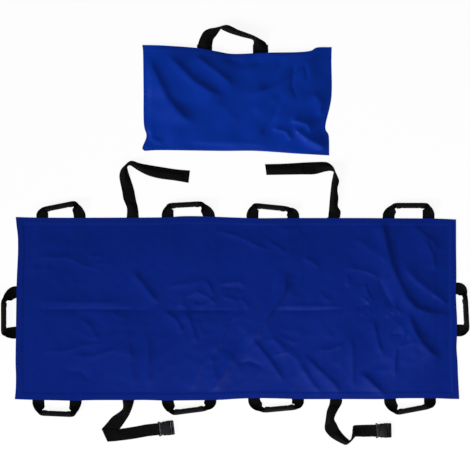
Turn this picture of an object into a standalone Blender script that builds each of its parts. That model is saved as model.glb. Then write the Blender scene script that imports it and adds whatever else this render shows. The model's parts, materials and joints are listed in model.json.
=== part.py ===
"""Folding fabric stretcher with its carry bag, laid out flat.

A coated fabric mat in four panels that fold like an accordion, carried on crosswise webbing with ten
handles, each with a ribbed grip. Two pairs of strap halves cross the casualty: the far halves end in a
plain cut end, the near halves in a side-release buckle. The carry bag lies beyond the far edge.

Metres, +Z up. X runs along the mat, Y across it. The origin is on the face that the casualty lies on, at
the mat's middle.
"""

import math

import bmesh
import bpy
from mathutils import Matrix, Vector

# Mat
MAT_LENGTH = 1.830
MAT_WIDTH = 0.755
FABRIC_THICK = 0.0008
HEM_WIDTH = 0.025
HEM_THICK = 0.0016
MIDDLE_CREASE = -0.027
CREASE_SPACING = 0.4935

# Gap that touching pieces keep
SEAT_GAP = 0.0003

# Webbing of handles and straps
WEB_WIDTH = 0.050
WEB_THICK = 0.0014
WEB_LAYERS_IN_GRIP = 3
WEB_BENDS_OUTSIDE = 0.0015
END_TAB_LENGTH = 0.065

# Where each handle's middle lies, along the long edges and across the ends
HANDLE_FROM_LEFT_END = {"far_1": 0.1845, "near_1": 0.168}
HANDLE_FROM_MIDDLE = {"far_2": -0.202, "far_3": 0.149, "near_2": -0.199, "near_3": 0.162}
HANDLE_FROM_RIGHT_END = {"far_4": 0.203, "near_4": 0.197}
END_HANDLE_OFF_MIDDLE = {"left_end": -0.016, "right_end": -0.004}

# Distance between the middles of a handle's two legs
LEG_SPACING = {
    "far_1": 0.155, "far_2": 0.172, "far_3": 0.170, "far_4": 0.166,
    "near_1": 0.155, "near_2": 0.178, "near_3": 0.182, "near_4": 0.166,
    "left_end": 0.168, "right_end": 0.174,
}
HANDLE_REACH = 0.050
RIGHT_END_REACH = 0.039
LEG_STRAIGHT = 0.020
LEG_BEND_STEPS = 7
LEG_FOLDED_BY = 0.8
GRIP_LENGTH = 0.120
GRIP_END_GAP = 0.0035
GRIP_WALL = 0.0028
GRIP_HEIGHT = 0.017
GRIP_BORE_PLAY = 0.0005
GRIP_END_ROUND = 0.002
GRIP_END_FLARE = 0.002
GRIP_FLARE_LENGTH = 0.022
GRIP_SIDES = 12
RIB_COUNT = 9
RIB_HEIGHT = 0.0024
RIBBED_LENGTH = 0.066

# Shape of the grip's oval: powers of the cosine and sine, and how far the bore's circle is cut flat
OVAL_ACROSS = 0.8
OVAL_UPWARDS = 0.7
BORE_CUT_ACROSS = 2.0
BORE_CUT_UPWARDS = 1.5

# Where a rib's valley and crest lie, as shares of its pitch
RIB_VALLEY = 0.12
RIB_CREST = 0.5

# How far each handle lies askew, as rise along the grip per length
HANDLE_LEAN = {
    "far_1": 0.10, "far_2": 0.02, "far_3": -0.08, "far_4": 0.02,
    "near_1": 0.0, "near_2": -0.06, "near_3": 0.02, "near_4": -0.07,
    "left_end": 0.03, "right_end": -0.05,
}

# Straps: where the foot is on the mat's edge, then how far along and out from it the strap's middle runs,
# with the share of its width where it is twisted or bunched together
STRAP_FEET = {"far_left": -0.434, "far_right": 0.400, "near_left": -0.452, "near_right": 0.411}
STRAP_RUN = {
    "far_left": (
        (0.000, 0.040, 1.0), (-0.0285, 0.151, 1.0), (-0.034, 0.188, 0.68), (-0.0245, 0.2135, 0.26),
        (-0.001, 0.2215, 0.46), (0.069, 0.1945, 0.9), (0.118, 0.184, 1.0)),
    "far_right": (
        (0.0045, 0.028, 1.0), (0.002, 0.055, 0.7), (0.003, 0.115, 0.56), (0.0085, 0.148, 0.6),
        (0.005, 0.1865, 0.24), (-0.012, 0.205, 0.56), (-0.0335, 0.209, 0.8), (-0.0785, 0.2035, 1.0)),
    "near_left": ((0.002, 0.046, 1.0),),
    "near_right": (
        (0.003, 0.018, 1.0), (0.024, 0.076, 0.76), (0.021, 0.112, 0.9), (0.006, 0.138, 1.0),
        (-0.032, 0.167, 0.62), (-0.053, 0.1745, 0.28), (-0.0655, 0.1635, 0.22), (-0.073, 0.144, 0.4),
        (-0.086, 0.1305, 0.9), (-0.100, 0.129, 1.0)),
}
STRAP_FOLD = {"near_left": (0.096, 0.147)}
STRAP_TIP = {
    "far_left": (0.236, 0.168), "far_right": (-0.284, 0.198),
    "near_left": (-0.128, 0.121), "near_right": (-0.166, 0.1275),
}
FOLD_RADIUS = 0.0009
FOLD_STEPS = 4
STRAP_SETTLES = 0.075
SEWN_BACK = 0.042
SEWN_GAP = 2 * SEAT_GAP
LOOP_RUN_IN = 0.0176
LOOP_START = math.radians(111)
LOOP_END = math.radians(-99)
LOOP_STEPS = 8

# Side-release buckle, measured along it from the axis of the bar that the webbing goes round
BAR_RADIUS = 0.0022
WEB_SIDE_PLAY = 0.001
BUCKLE_EAR = 0.004
BUCKLE_HEIGHT = 0.013
REAR_SLOT_END = 0.0078
CAVITY_START = 0.011
WINDOW_START = 0.0130
WINDOW_END = 0.0275
MOUTH = 0.042
SHELL_WALL = 0.0023
SIDE_WALL = 0.004
SIDE_ROUND = 0.0035
SIDE_BULGE = 0.6
EAR_BULGE = 0.0013
EAR_WAIST = 0.0022
EAR_WAIST_AT = 0.0085
EAR_ROUND = 0.0025
EAR_PROUD = 0.0006
EAR_HEIGHT = 0.0065
WINDOW_DEPTH = 0.003
SHOULDER_DEPTH = 0.0047
SHOULDER_PROUD = 0.001
LADDER_THICK = 0.0056
LADDER_INSET = 0.001
LADDER_CORNER = 0.003
LADDER_SLOT = 0.0038
LADDER_BAR = 0.0046
LADDER_SLOTS = 2
JOIN_DEPTH = 0.001
PRONG_WIDTH = 0.012
PRONG_TIP_WIDTH = 0.0067
PRONG_TAPER = 0.006
PRONG_THICK = 0.005
PRONG_START = 0.0145
ARM_THICK = 0.0072
ARM_ROOT_RADIUS = 0.002
ARM_ROOT_OFF_AXIS = 0.017
ARM_ROOT_START = math.radians(-60)
ARM_ROOT_END = math.radians(80)
ARM_ROOT_STEPS = 4
ARM_PLAY = 0.0004
ARM_WALL_GAP = 0.0007
ARM_BACK_BOW = 0.003
ARM_SPRING_BOW = 0.004
PAD_INSET = 0.0011
PAD_CROWN = 0.0004
PAD_ROUND = 0.0035
PAD_THICK = 0.0030
BARB_DEPTH = 0.0095

# Sections of the socket's shell: place along it, inset of its sides, share of its height
SOCKET_SECTIONS = (
    (REAR_SLOT_END, 0.0030, 0.62), (CAVITY_START + 0.001, 0.0018, 0.92), (CAVITY_START + 0.006, 0.0014, 1.0),
    (WINDOW_END, 0.0014, 1.0), (MOUTH - 0.008, -0.0004, 1.0), (MOUTH - 0.003, -0.0008, 1.0),
    (MOUTH, -0.0002, 0.9))

# The same of the plug's shoulder: share of its depth, inset of its sides, share of the buckle's height
SHOULDER_SECTIONS = ((0.0, 0.0006, 0.86), (0.4, 0, 0.96), (0.7, 0, 0.94), (1.0, 0.0008, 0.6))

# Carry bag, the ends of its seam and its mouth measured from the mat's far edge
BAG_MIDDLE_X = -0.001
BAG_WIDTH = 0.780
BAG_SEAM_LEFT_FROM_MAT = 0.2765
BAG_SEAM_RIGHT_FROM_MAT = 0.2595
BAG_MOUTH_FROM_MAT = 0.7145
BAG_TOP_DIP = 0.034
BAG_DIP_AT = 0.15
BAG_DIP_SPAN = 0.85
BAG_LOFT = 0.022
BAG_MOUTH = 0.014
BAG_SIDE_POWER = 4
BAG_BELLY_POWER = 0.7
BAG_FABRIC = 0.0008
BAG_COLUMNS = 14
BAG_ROWS = 9
BAG_WEB_WIDTH = 0.0635
BAG_WEB_THICK = 0.0018
BAG_LEGS_MIDDLE = -0.0185
BAG_LEG_SPACING = 0.232
BAG_LEG_STRAIGHT = 0.020
BAG_HANDLE_REACH = 0.066
BAG_HANDLE_NARROW = 0.036
BAG_HANDLE_FOLDED = 0.0032
BAG_HANDLE_TOP = 0.110
BAG_HANDLE_LEAN = -0.12
BAG_TAB_LENGTH = 0.050
BAG_BENDS_OUTSIDE = 0.0030

# Worked out from the sizes above
HEM_TOP = HEM_THICK - FABRIC_THICK
WEB_TOP = -FABRIC_THICK - SEAT_GAP
FLOOR = WEB_TOP - WEB_THICK
WEB_MID = WEB_TOP - WEB_THICK / 2
HALF_LENGTH = MAT_LENGTH / 2
HALF_WIDTH = MAT_WIDTH / 2
EDGE_BEND = HALF_WIDTH + WEB_BENDS_OUTSIDE
END_BEND = HALF_LENGTH + WEB_BENDS_OUTSIDE
UPPER_FOLD = HEM_TOP + SEAT_GAP / 2
LOWER_FOLD = -FABRIC_THICK - SEAT_GAP / 2
CREASES = (MIDDLE_CREASE - CREASE_SPACING, MIDDLE_CREASE, MIDDLE_CREASE + CREASE_SPACING)
FOLD_HEIGHTS = (UPPER_FOLD, LOWER_FOLD, UPPER_FOLD)
FOLDED_WIDTH = WEB_WIDTH / WEB_LAYERS_IN_GRIP
FOLDED_THICK = WEB_LAYERS_IN_GRIP * WEB_THICK + SEAT_GAP
GRIP_MID = FLOOR + SEAT_GAP + GRIP_HEIGHT / 2
BUCKLE_MID = FLOOR + SEAT_GAP + BUCKLE_HEIGHT / 2
SLOT_HALF = WEB_WIDTH / 2 + WEB_SIDE_PLAY
BUCKLE_HALF = SLOT_HALF + BUCKLE_EAR
CAVITY_HALF = BUCKLE_HALF - SIDE_WALL
LOOP_RADIUS = BAR_RADIUS + SEAT_GAP + WEB_THICK / 2
BAG_BOTTOM_LEFT = HALF_WIDTH + BAG_SEAM_LEFT_FROM_MAT
BAG_BOTTOM_RIGHT = HALF_WIDTH + BAG_SEAM_RIGHT_FROM_MAT
BAG_TOP = HALF_WIDTH + BAG_MOUTH_FROM_MAT
BAG_LEG_TOP = FLOOR + BAG_FABRIC + SEAT_GAP + BAG_WEB_THICK
UP = Vector((0, 0, 1))


def finish(name, colour, roughness, metallic=0.0):
    """Plain surface of one of the stretcher's materials."""
    made = bpy.data.materials.new(name)
    made.use_nodes = True
    shader = made.node_tree.nodes["Principled BSDF"]
    shader.inputs["Base Color"].default_value = (*colour, 1)
    shader.inputs["Roughness"].default_value = roughness
    shader.inputs["Metallic"].default_value = metallic
    made.diffuse_color = (*colour, 1)
    return made


def world_of(thing):
    """Where a thing lies in the world, through its chain of parents."""
    here = thing.matrix_basis.copy()
    return world_of(thing.parent) @ here if thing.parent else here


def hang(thing, parent, spot, turn=0.0):
    """Parents a thing and puts it at a world spot, turned about the vertical."""
    goal = Matrix.Translation(spot) @ Matrix.Rotation(turn, 4, "Z")
    thing.parent = parent
    thing.matrix_basis = world_of(parent).inverted() @ goal if parent else goal
    return thing


def joint_axis(name, parent, spot, turn=0.0):
    """Empty on a joint's axis, which the pieces of one moving body hang from."""
    empty = bpy.data.objects.new(name, None)
    bpy.context.scene.collection.objects.link(empty)
    return hang(empty, parent, spot, turn)


def solid(name, bm, material, smooth=False):
    """Closed mesh as a named object, its faces pointing out."""
    bmesh.ops.remove_doubles(bm, verts=bm.verts, dist=1e-7)
    bmesh.ops.recalc_face_normals(bm, faces=bm.faces)
    mesh = bpy.data.meshes.new(name)
    bm.to_mesh(mesh)
    bm.free()
    if smooth:
        mesh.shade_smooth()
        mesh.set_sharp_from_angle(angle=math.radians(40))
    mesh.materials.append(material)
    made = bpy.data.objects.new(name, mesh)
    bpy.context.scene.collection.objects.link(made)
    return made


def box(bm, low, high):
    """Adds a closed box between two corners."""
    size = Vector(high) - Vector(low)
    place = Matrix.Translation((Vector(high) + Vector(low)) / 2) @ Matrix.Diagonal((*size, 1))
    bmesh.ops.create_cube(bm, size=1, matrix=place)
    return bm


def skin(bm, rings, joined=False):
    """Faces between rings of equal point count, capped at both ends or joined into one loop."""
    loops = [[bm.verts.new(p) for p in ring] for ring in rings]
    pairs = list(zip(loops, loops[1:]))
    if joined:
        pairs.append((loops[-1], loops[0]))
    else:
        bm.faces.new(loops[0])
        bm.faces.new(loops[-1])
    for one, other in pairs:
        for i, point in enumerate(one):
            j = (i + 1) % len(one)
            bm.faces.new((point, one[j], other[j], other[i]))
    return bm


def prism(bm, outline, low, high):
    """Upright prism over a flat outline of (x, y) points."""
    return skin(bm, [[(x, y, z) for x, y in outline] for z in (low, high)])


def tape(bm, stations, thick):
    """Flat tape through stations of (middle, half width vector, normal, thickness factor)."""
    rings = []
    for middle, half, normal, factor in stations:
        up = normal * (thick * factor / 2)
        rings.append([middle - half - up, middle + half - up, middle + half + up, middle - half + up])
    return skin(bm, rings)


def ease(t):
    """Smooth step from 0 to 1."""
    t = min(max(t, 0.0), 1.0)
    return t * t * (3 - 2 * t)


def mat_panel(name, left, right, left_hem, right_hem, material):
    """Fabric panel with turned hems on the edges where the mat ends."""
    bm = box(bmesh.new(), (left, -HALF_WIDTH, -FABRIC_THICK), (right, HALF_WIDTH, 0))
    inner = HALF_WIDTH - HEM_WIDTH
    cuts = [((0, inner, 0), (0, 1, 0)), ((0, -inner, 0), (0, 1, 0))]
    start = left + HEM_WIDTH if left_hem else left
    stop = right - HEM_WIDTH if right_hem else right
    if left_hem:
        cuts.append(((start, 0, 0), (1, 0, 0)))
    if right_hem:
        cuts.append(((stop, 0, 0), (1, 0, 0)))
    for point, normal in cuts:
        everything = bm.verts[:] + bm.edges[:] + bm.faces[:]
        bmesh.ops.bisect_plane(bm, geom=everything, plane_co=point, plane_no=normal, dist=1e-7)
    hems = []
    for face in bm.faces:
        spot = face.calc_center_median()
        if face.normal.z > 0.9 and (abs(spot.y) > inner or not start < spot.x < stop):
            hems.append(face)
    raised = bmesh.ops.extrude_face_region(bm, geom=hems)
    corners = [v for v in raised["geom"] if isinstance(v, bmesh.types.BMVert)]
    bmesh.ops.translate(bm, vec=(0, 0, HEM_TOP), verts=corners)
    bmesh.ops.delete(bm, geom=hems, context="FACES")
    return solid(name, bm, material)


def cross_webbing(name, far_x, near_x, material):
    """Webbing under the mat, from the far leg that it carries to the near one."""
    half = Vector((WEB_WIDTH / 2, 0, 0))
    end = EDGE_BEND - SEAT_GAP
    stations = [(Vector((x, y, WEB_MID)), half, UP, 1) for x, y in ((far_x, end), (near_x, -end))]
    return solid(name, tape(bmesh.new(), stations, WEB_THICK), material)


def end_tab(name, side, y, material):
    """Short webbing under an end hem, which an end handle's leg goes on from."""
    outer = side * (END_BEND - SEAT_GAP)
    inner = side * (HALF_LENGTH - END_TAB_LENGTH)
    half = Vector((0, WEB_WIDTH / 2, 0))
    stations = [(Vector((x, y, WEB_MID)), half, UP, 1) for x in (outer, inner)]
    return solid(name, tape(bmesh.new(), stations, WEB_THICK), material)


def loop_stations(spacing, straight, reach, top_half, wide, narrow, thick_factor, low, high, lean):
    """Handle webbing: flat legs that turn, narrow and rise into a folded run across the top.

    Points go out from the bend at the mat's edge. lean makes one leg longer than the other.
    """
    turn_across = spacing / 2 - top_half
    turn_out = reach - straight
    side = [(spacing / 2, 0.0, 0.0), (spacing / 2, straight / 2, 0.0)]
    for i in range(LEG_BEND_STEPS + 1):
        share = i / LEG_BEND_STEPS
        angle = math.pi / 2 * share
        u = top_half + turn_across * math.cos(angle)
        side.append((u, straight + turn_out * math.sin(angle), share))
    mirrored = [(-u, v, t) for u, v, t in side]
    path = mirrored + side[::-1]
    middles = []
    for u, v, t in path:
        middles.append(Vector((u, v * (1 + lean * u / reach), low + (high - low) * ease(t))))
    stations = []
    for i, (u, v, t) in enumerate(path):
        ahead = middles[min(i + 1, len(path) - 1)] - middles[max(i - 1, 0)]
        along = Vector((ahead.x, ahead.y, 0)).normalized()
        across = Vector((along.y, -along.x, 0))
        if v == 0:
            across = Vector((math.copysign(1, across.x), 0, 0))
        fold = ease(t / LEG_FOLDED_BY)
        half = across * (wide + (narrow - wide) * fold) / 2
        stations.append((middles[i], half, UP, 1 + (thick_factor - 1) * fold))
    return stations


def handle_webbing(name, spacing, reach, lean, material):
    stations = loop_stations(
        spacing, LEG_STRAIGHT, reach, GRIP_LENGTH / 2 + GRIP_END_GAP, WEB_WIDTH, FOLDED_WIDTH,
        FOLDED_THICK / WEB_THICK, -WEB_THICK / 2, GRIP_MID - WEB_TOP, lean)
    return solid(name, tape(bmesh.new(), stations, WEB_THICK), material)


def grip_ring(x, size, spread):
    """Outer section of the grip, a flat oval that ribs and flared ends spread on the side of the mat."""
    depth = FOLDED_WIDTH / 2 + GRIP_BORE_PLAY + GRIP_WALL
    ring = []
    for i in range(GRIP_SIDES):
        angle = 2 * math.pi * (i + 0.5) / GRIP_SIDES
        y, z = math.cos(angle), math.sin(angle)
        y = math.copysign(abs(y) ** OVAL_ACROSS, y) * (depth - size)
        z = math.copysign(abs(z) ** OVAL_UPWARDS, z) * (GRIP_HEIGHT / 2 - size)
        if y < 0:
            y -= spread * abs(y) / depth
        ring.append((x, y, z))
    return ring


def bore_ring(x):
    """Inner section of the grip, a flat slot round the folded webbing."""
    half = FOLDED_WIDTH / 2 + GRIP_BORE_PLAY
    tall = FOLDED_THICK / 2 + GRIP_BORE_PLAY
    ring = []
    for i in range(GRIP_SIDES):
        angle = 2 * math.pi * (i + 0.5) / GRIP_SIDES
        y = min(max(BORE_CUT_ACROSS * math.cos(angle), -1.0), 1.0)
        z = min(max(BORE_CUT_UPWARDS * math.sin(angle), -1.0), 1.0)
        ring.append((x, half * y, tall * z))
    return ring


def grip(name, material):
    """Moulded grip on the folded webbing: finger ribs towards the mat, between two flared ends."""
    half = GRIP_LENGTH / 2
    pitch = RIBBED_LENGTH / RIB_COUNT
    ends = [(half, GRIP_END_ROUND, GRIP_END_FLARE), (half - GRIP_END_ROUND, 0, GRIP_END_FLARE),
            (half - GRIP_FLARE_LENGTH, 0, 0)]
    rings = [grip_ring(-x, size, spread) for x, size, spread in ends]
    for i in range(RIB_COUNT):
        start = -RIBBED_LENGTH / 2 + pitch * i
        rings.append(grip_ring(start + pitch * RIB_VALLEY, 0, 0))
        rings.append(grip_ring(start + pitch * RIB_CREST, 0, RIB_HEIGHT))
    rings.append(grip_ring(RIBBED_LENGTH / 2, 0, 0))
    rings += [grip_ring(x, size, spread) for x, size, spread in ends[::-1]]
    rings += [bore_ring(half), bore_ring(-half)]
    return solid(name, skin(bmesh.new(), rings, joined=True), material, smooth=True)


def flat(pair, height=0.0):
    return Vector((pair[0], pair[1], height))


def left_of(direction):
    return Vector((-direction.y, direction.x, 0))


def strap_run(points):
    """Stations along a strap's run; where it is bunched it gets thicker and still lies on the floor."""
    half_web = WEB_WIDTH / 2
    low = -WEB_THICK / 2
    stations = [(flat((0, 0), low), Vector((-half_web, 0, 0)), UP, 1)]
    middles = [flat((0, 0))] + [flat(point) for point in points]
    for i, (_, _, share) in enumerate(points[:-1], 1):
        one = left_of((middles[i] - middles[i - 1]).normalized())
        other = left_of((middles[i + 1] - middles[i]).normalized())
        mitre = (one + other).normalized()
        height = low + WEB_THICK * (1 / share - 1) / 2
        stations.append((middles[i] + UP * height, mitre * half_web * share / mitre.dot(one), UP, 1 / share))
    return stations


def fold_over(which):
    """Stations of a strap that folds flat over itself, and its way on, width and height from there."""
    low = -WEB_THICK / 2
    run = [*STRAP_RUN[which], (*STRAP_FOLD[which], 1)]
    stations = strap_run(run)
    corner = flat(STRAP_FOLD[which], low)
    inward = (flat(run[-1]) - flat(run[-2])).normalized()
    onward = heading_of(which)
    crease = (inward + onward).normalized()
    if crease.dot(left_of(inward)) < 0:
        crease = -crease
    outward = left_of(crease)
    if outward.dot(inward) < 0:
        outward = -outward
    half = crease * WEB_WIDTH / 2 / crease.dot(left_of(inward))
    for i in range(FOLD_STEPS + 1):
        angle = math.pi * i / FOLD_STEPS
        middle = corner + outward * FOLD_RADIUS * math.sin(angle) + UP * FOLD_RADIUS * (1 - math.cos(angle))
        stations.append((middle, half, UP * math.cos(angle) - outward * math.sin(angle), 1))
    settled = flat(STRAP_FOLD[which]) + onward * STRAP_SETTLES
    flipped = left_of(onward) * -WEB_WIDTH / 2
    stations.append((flat(settled, low + 2 * FOLD_RADIUS), flipped, -UP, 1))
    return stations


def heading_of(which):
    """The way that a strap's last stretch runs."""
    before = STRAP_FOLD.get(which, STRAP_RUN[which][-1])
    return (flat(STRAP_TIP[which]) - flat(before)).normalized()


def plain_strap(name, which, material):
    """Strap half with a cut end, twisted to a narrow neck where it turns."""
    onward = heading_of(which)
    stations = strap_run([*STRAP_RUN[which], (*STRAP_TIP[which], 1)])
    stations.append((flat(STRAP_TIP[which], -WEB_THICK / 2), left_of(onward) * WEB_WIDTH / 2, UP, 1))
    return solid(name, tape(bmesh.new(), stations, WEB_THICK), material)


def buckle_strap(name, which, material):
    """Strap half whose end goes round the buckle's bar and is sewn back under itself."""
    bar = flat(STRAP_TIP[which])
    onward = heading_of(which)
    folded = which in STRAP_FOLD
    stations = fold_over(which) if folded else strap_run([*STRAP_RUN[which], (*STRAP_TIP[which], 1)])
    face = -1 if folded else 1
    half = left_of(onward) * face * WEB_WIDTH / 2
    under = WEB_MID - WEB_TOP + SEAT_GAP
    over = under + WEB_THICK + SEWN_GAP
    sewn = bar - onward * (LOOP_RUN_IN + SEWN_BACK)
    lead = bar - onward * LOOP_RUN_IN
    stations += [(flat(sewn, over), half, UP * face, 1), (flat(lead, over), half, UP * face, 1)]
    for i in range(LOOP_STEPS + 1):
        angle = LOOP_START + (LOOP_END - LOOP_START) * i / LOOP_STEPS
        out = onward * math.cos(angle) + UP * math.sin(angle)
        stations.append((flat(bar, BUCKLE_MID - WEB_TOP) + out * LOOP_RADIUS, half, out * face, 1))
    stations += [(flat(lead, under), half, -UP * face, 1), (flat(sewn, under), half, -UP * face, 1)]
    return solid(name, tape(bmesh.new(), stations, WEB_THICK), material)


def oval(x, half_width, half_height, corner, points=5):
    """Upright section across the buckle, a slab with rounded sides."""
    ring = []
    for sy, sz in ((1, 1), (-1, 1), (-1, -1), (1, -1)):
        quarter = []
        for i in range(points):
            angle = math.pi / 2 * i / (points - 1)
            y = half_width - corner + corner * math.cos(angle)
            z = half_height * math.sin(angle) ** SIDE_BULGE if i else 0.0
            quarter.append((x, sy * y, sz * z))
        quarter = quarter if sy * sz > 0 else quarter[::-1]
        ring += quarter if not ring or Vector(ring[-1]) != Vector(quarter[0]) else quarter[1:]
    while Vector(ring[-1]) == Vector(ring[0]):
        ring.pop()
    return ring


def cutter(target, bm, name, operation):
    """Boolean on a piece, with a helper that isn't part of the object."""
    helper = solid(name, bm, target.data.materials[0])
    helper.hide_render = True
    helper.display_type = "WIRE"
    step = target.modifiers.new(name, "BOOLEAN")
    step.operation = operation
    step.object = helper
    helper.parent = target
    return step


def slabs(sections, start, depth):
    """Buckle body lofted through sections of (place, inset of its sides, share of its height)."""
    return skin(bmesh.new(), [
        oval(start + depth * place, BUCKLE_HALF - inset, BUCKLE_HEIGHT / 2 * share, SIDE_ROUND)
        for place, inset, share in sections])


def socket_ear(bm, side):
    """Ear on one side of the socket: a knob at the bar, then a waist that rises to the shell."""
    knob = BUCKLE_HALF + EAR_BULGE
    run = [
        (-BAR_RADIUS, knob - EAR_ROUND, BAR_RADIUS), (EAR_ROUND - BAR_RADIUS, knob, BAR_RADIUS + EAR_PROUD),
        (EAR_ROUND, knob, BAR_RADIUS + EAR_PROUD), (EAR_WAIST_AT, BUCKLE_HALF - EAR_WAIST, EAR_HEIGHT / 2),
        (CAVITY_START, BUCKLE_HALF - EAR_WAIST, EAR_HEIGHT / 2)]
    rings = []
    for x, outer, half_height in run:
        sides = sorted((side * SLOT_HALF, side * outer))
        rings.append([(x, y, z * half_height) for y, z in zip(sides + sides[::-1], (-1, -1, 1, 1))])
    return skin(bm, rings)


def buckle_socket(name, material):
    """Female half: a flat shell with a bar behind, side windows and an open mouth."""
    tall = BUCKLE_HEIGHT / 2
    made = solid(name, slabs(SOCKET_SECTIONS, 0, 1), material, smooth=True)
    ears = bmesh.new()
    for side in (-1, 1):
        socket_ear(ears, side)
    cutter(made, ears, name + "_ears", "UNION")
    bar = bmesh.new()
    bmesh.ops.create_cone(
        bar, cap_ends=True, segments=12, radius1=BAR_RADIUS, radius2=BAR_RADIUS,
        depth=2 * SLOT_HALF + BUCKLE_EAR, matrix=Matrix.Rotation(math.pi / 2, 4, "X"))
    cutter(made, bar, name + "_bar", "UNION")
    room = tall - SHELL_WALL
    cavity = box(bmesh.new(), (CAVITY_START, -CAVITY_HALF, -room), (2 * MOUTH, CAVITY_HALF, room))
    cutter(made, cavity, name + "_cavity", "DIFFERENCE")
    windows = bmesh.new()
    for side in (-1, 1):
        inner, outer = sorted((side * (CAVITY_HALF - WINDOW_DEPTH), side * 2 * BUCKLE_HALF))
        box(windows, (WINDOW_START, inner, -tall), (WINDOW_END, outer, tall))
    cutter(made, windows, name + "_windows", "DIFFERENCE")
    return made


def buckle_plug(name, material):
    """Male half: shoulder, guide prong and a ladder for the other strap."""
    start = MOUTH + SEAT_GAP
    stop = start + SHOULDER_DEPTH
    sections = [(place, inset - SHOULDER_PROUD, share) for place, inset, share in SHOULDER_SECTIONS]
    made = solid(name, slabs(sections, start, SHOULDER_DEPTH), material, smooth=True)
    root, half, tip = start + JOIN_DEPTH, PRONG_WIDTH / 2, PRONG_TIP_WIDTH / 2
    taper = PRONG_START + PRONG_TAPER
    outline = [(root, -half), (root, half), (taper, half), (PRONG_START, tip), (PRONG_START, -tip),
               (taper, -half)]
    prong = prism(bmesh.new(), outline, -PRONG_THICK / 2, PRONG_THICK / 2)
    cutter(made, prong, name + "_prong", "UNION")
    end = stop + LADDER_SLOTS * (LADDER_SLOT + LADDER_BAR)
    half = BUCKLE_HALF + SHOULDER_PROUD - LADDER_INSET
    root, cut = stop - JOIN_DEPTH, LADDER_CORNER
    outline = [(root, -half), (end - cut, -half), (end, cut - half), (end, half - cut), (end - cut, half),
               (root, half)]
    plate = prism(bmesh.new(), outline, -LADDER_THICK / 2, LADDER_THICK / 2)
    cutter(made, plate, name + "_ladder", "UNION")
    slots = bmesh.new()
    for i in range(LADDER_SLOTS):
        low = stop + i * (LADDER_SLOT + LADDER_BAR)
        box(slots, (low, -WEB_WIDTH / 2, -BUCKLE_HEIGHT), (low + LADDER_SLOT, WEB_WIDTH / 2, BUCKLE_HEIGHT))
    cutter(made, slots, name + "_slots", "DIFFERENCE")
    return made


def buckle_arm(name, side, material):
    """Springy side arm with its barb and press pad, in the buckle's window.

    Drawn from the point that it bends about.
    """
    root = MOUTH - ARM_ROOT_RADIUS
    catch = WINDOW_END - ARM_PLAY - root
    back = WINDOW_START + 2 * ARM_PLAY - root
    edge = BUCKLE_HALF - ARM_ROOT_OFF_AXIS
    wall = CAVITY_HALF - ARM_WALL_GAP - ARM_ROOT_OFF_AXIS
    middle = (catch + ARM_ROOT_RADIUS) / 2
    outline = []
    for i in range(ARM_ROOT_STEPS + 1):
        angle = ARM_ROOT_START + (ARM_ROOT_END - ARM_ROOT_START) * i / ARM_ROOT_STEPS
        outline.append((ARM_ROOT_RADIUS * math.cos(angle), ARM_ROOT_RADIUS * math.sin(angle)))
    outline += [
        (middle, wall - ARM_BACK_BOW), (catch, wall), (catch, edge - PAD_INSET),
        (catch - PAD_ROUND, edge - PAD_CROWN), (back + PAD_ROUND, edge - PAD_INSET),
        (back, edge - PAD_INSET - PAD_ROUND), (back, edge - PAD_INSET - PAD_ROUND - PAD_THICK),
        (back + 2 * PAD_THICK, edge - BARB_DEPTH + PAD_INSET), (catch, edge - BARB_DEPTH),
        (middle, edge - BARB_DEPTH - ARM_SPRING_BOW),
    ]
    outline = [(x, side * y) for x, y in outline]
    return solid(name, prism(bmesh.new(), outline, -ARM_THICK / 2, ARM_THICK / 2), material)


def bag_outline(u, v):
    """Plan of the bag: u goes across from -1 to 1, v up from 0 at the seam to 1 at the mouth."""
    x = BAG_MIDDLE_X + u * BAG_WIDTH / 2
    bottom = BAG_BOTTOM_LEFT + (BAG_BOTTOM_RIGHT - BAG_BOTTOM_LEFT) * (u + 1) / 2
    off = min(abs(u - BAG_DIP_AT) / BAG_DIP_SPAN, 1.0)
    top = BAG_TOP - BAG_TOP_DIP * math.cos(off * math.pi / 2) ** 2
    return x, bottom + (top - bottom) * v


def bag_swell(u, v):
    """Height of the front panel over its seam."""
    across = 1 - abs(u) ** BAG_SIDE_POWER
    return across * (BAG_LOFT * math.sin(math.pi * v) ** BAG_BELLY_POWER + BAG_MOUTH * v * v)


def bag_panel(name, seat, swell, rows, material):
    """One fabric panel of the bag, seated at a height and swelled by a function."""
    bm = bmesh.new()
    layers = []
    for lift in (0.0, BAG_FABRIC):
        grid = []
        for j in range(rows + 1):
            v = j / rows
            row = []
            for i in range(BAG_COLUMNS + 1):
                u = -1 + 2 * i / BAG_COLUMNS
                row.append(bm.verts.new((*bag_outline(u, v), seat + lift + swell(u, v))))
            grid.append(row)
        layers.append(grid)
    for grid in layers:
        for low, high in zip(grid, grid[1:]):
            for i in range(BAG_COLUMNS):
                bm.faces.new((low[i], low[i + 1], high[i + 1], high[i]))
    lower, upper = [
        grid[0] + [row[-1] for row in grid[1:]] + grid[-1][-2::-1] + [row[0] for row in grid[-2:0:-1]]
        for grid in layers]
    for i, point in enumerate(lower):
        j = (i + 1) % len(lower)
        bm.faces.new((point, lower[j], upper[j], upper[i]))
    return solid(name, bm, material)


def bag_tab(name, x, material):
    """End of the bag's handle, sewn inside the mouth onto the back panel."""
    stop = BAG_TOP + BAG_BENDS_OUTSIDE - SEAT_GAP
    low = (x - BAG_WEB_WIDTH / 2, stop - BAG_TAB_LENGTH, BAG_LEG_TOP - BAG_WEB_THICK)
    high = (x + BAG_WEB_WIDTH / 2, stop, BAG_LEG_TOP)
    return solid(name, box(bmesh.new(), low, high), material)


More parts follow.
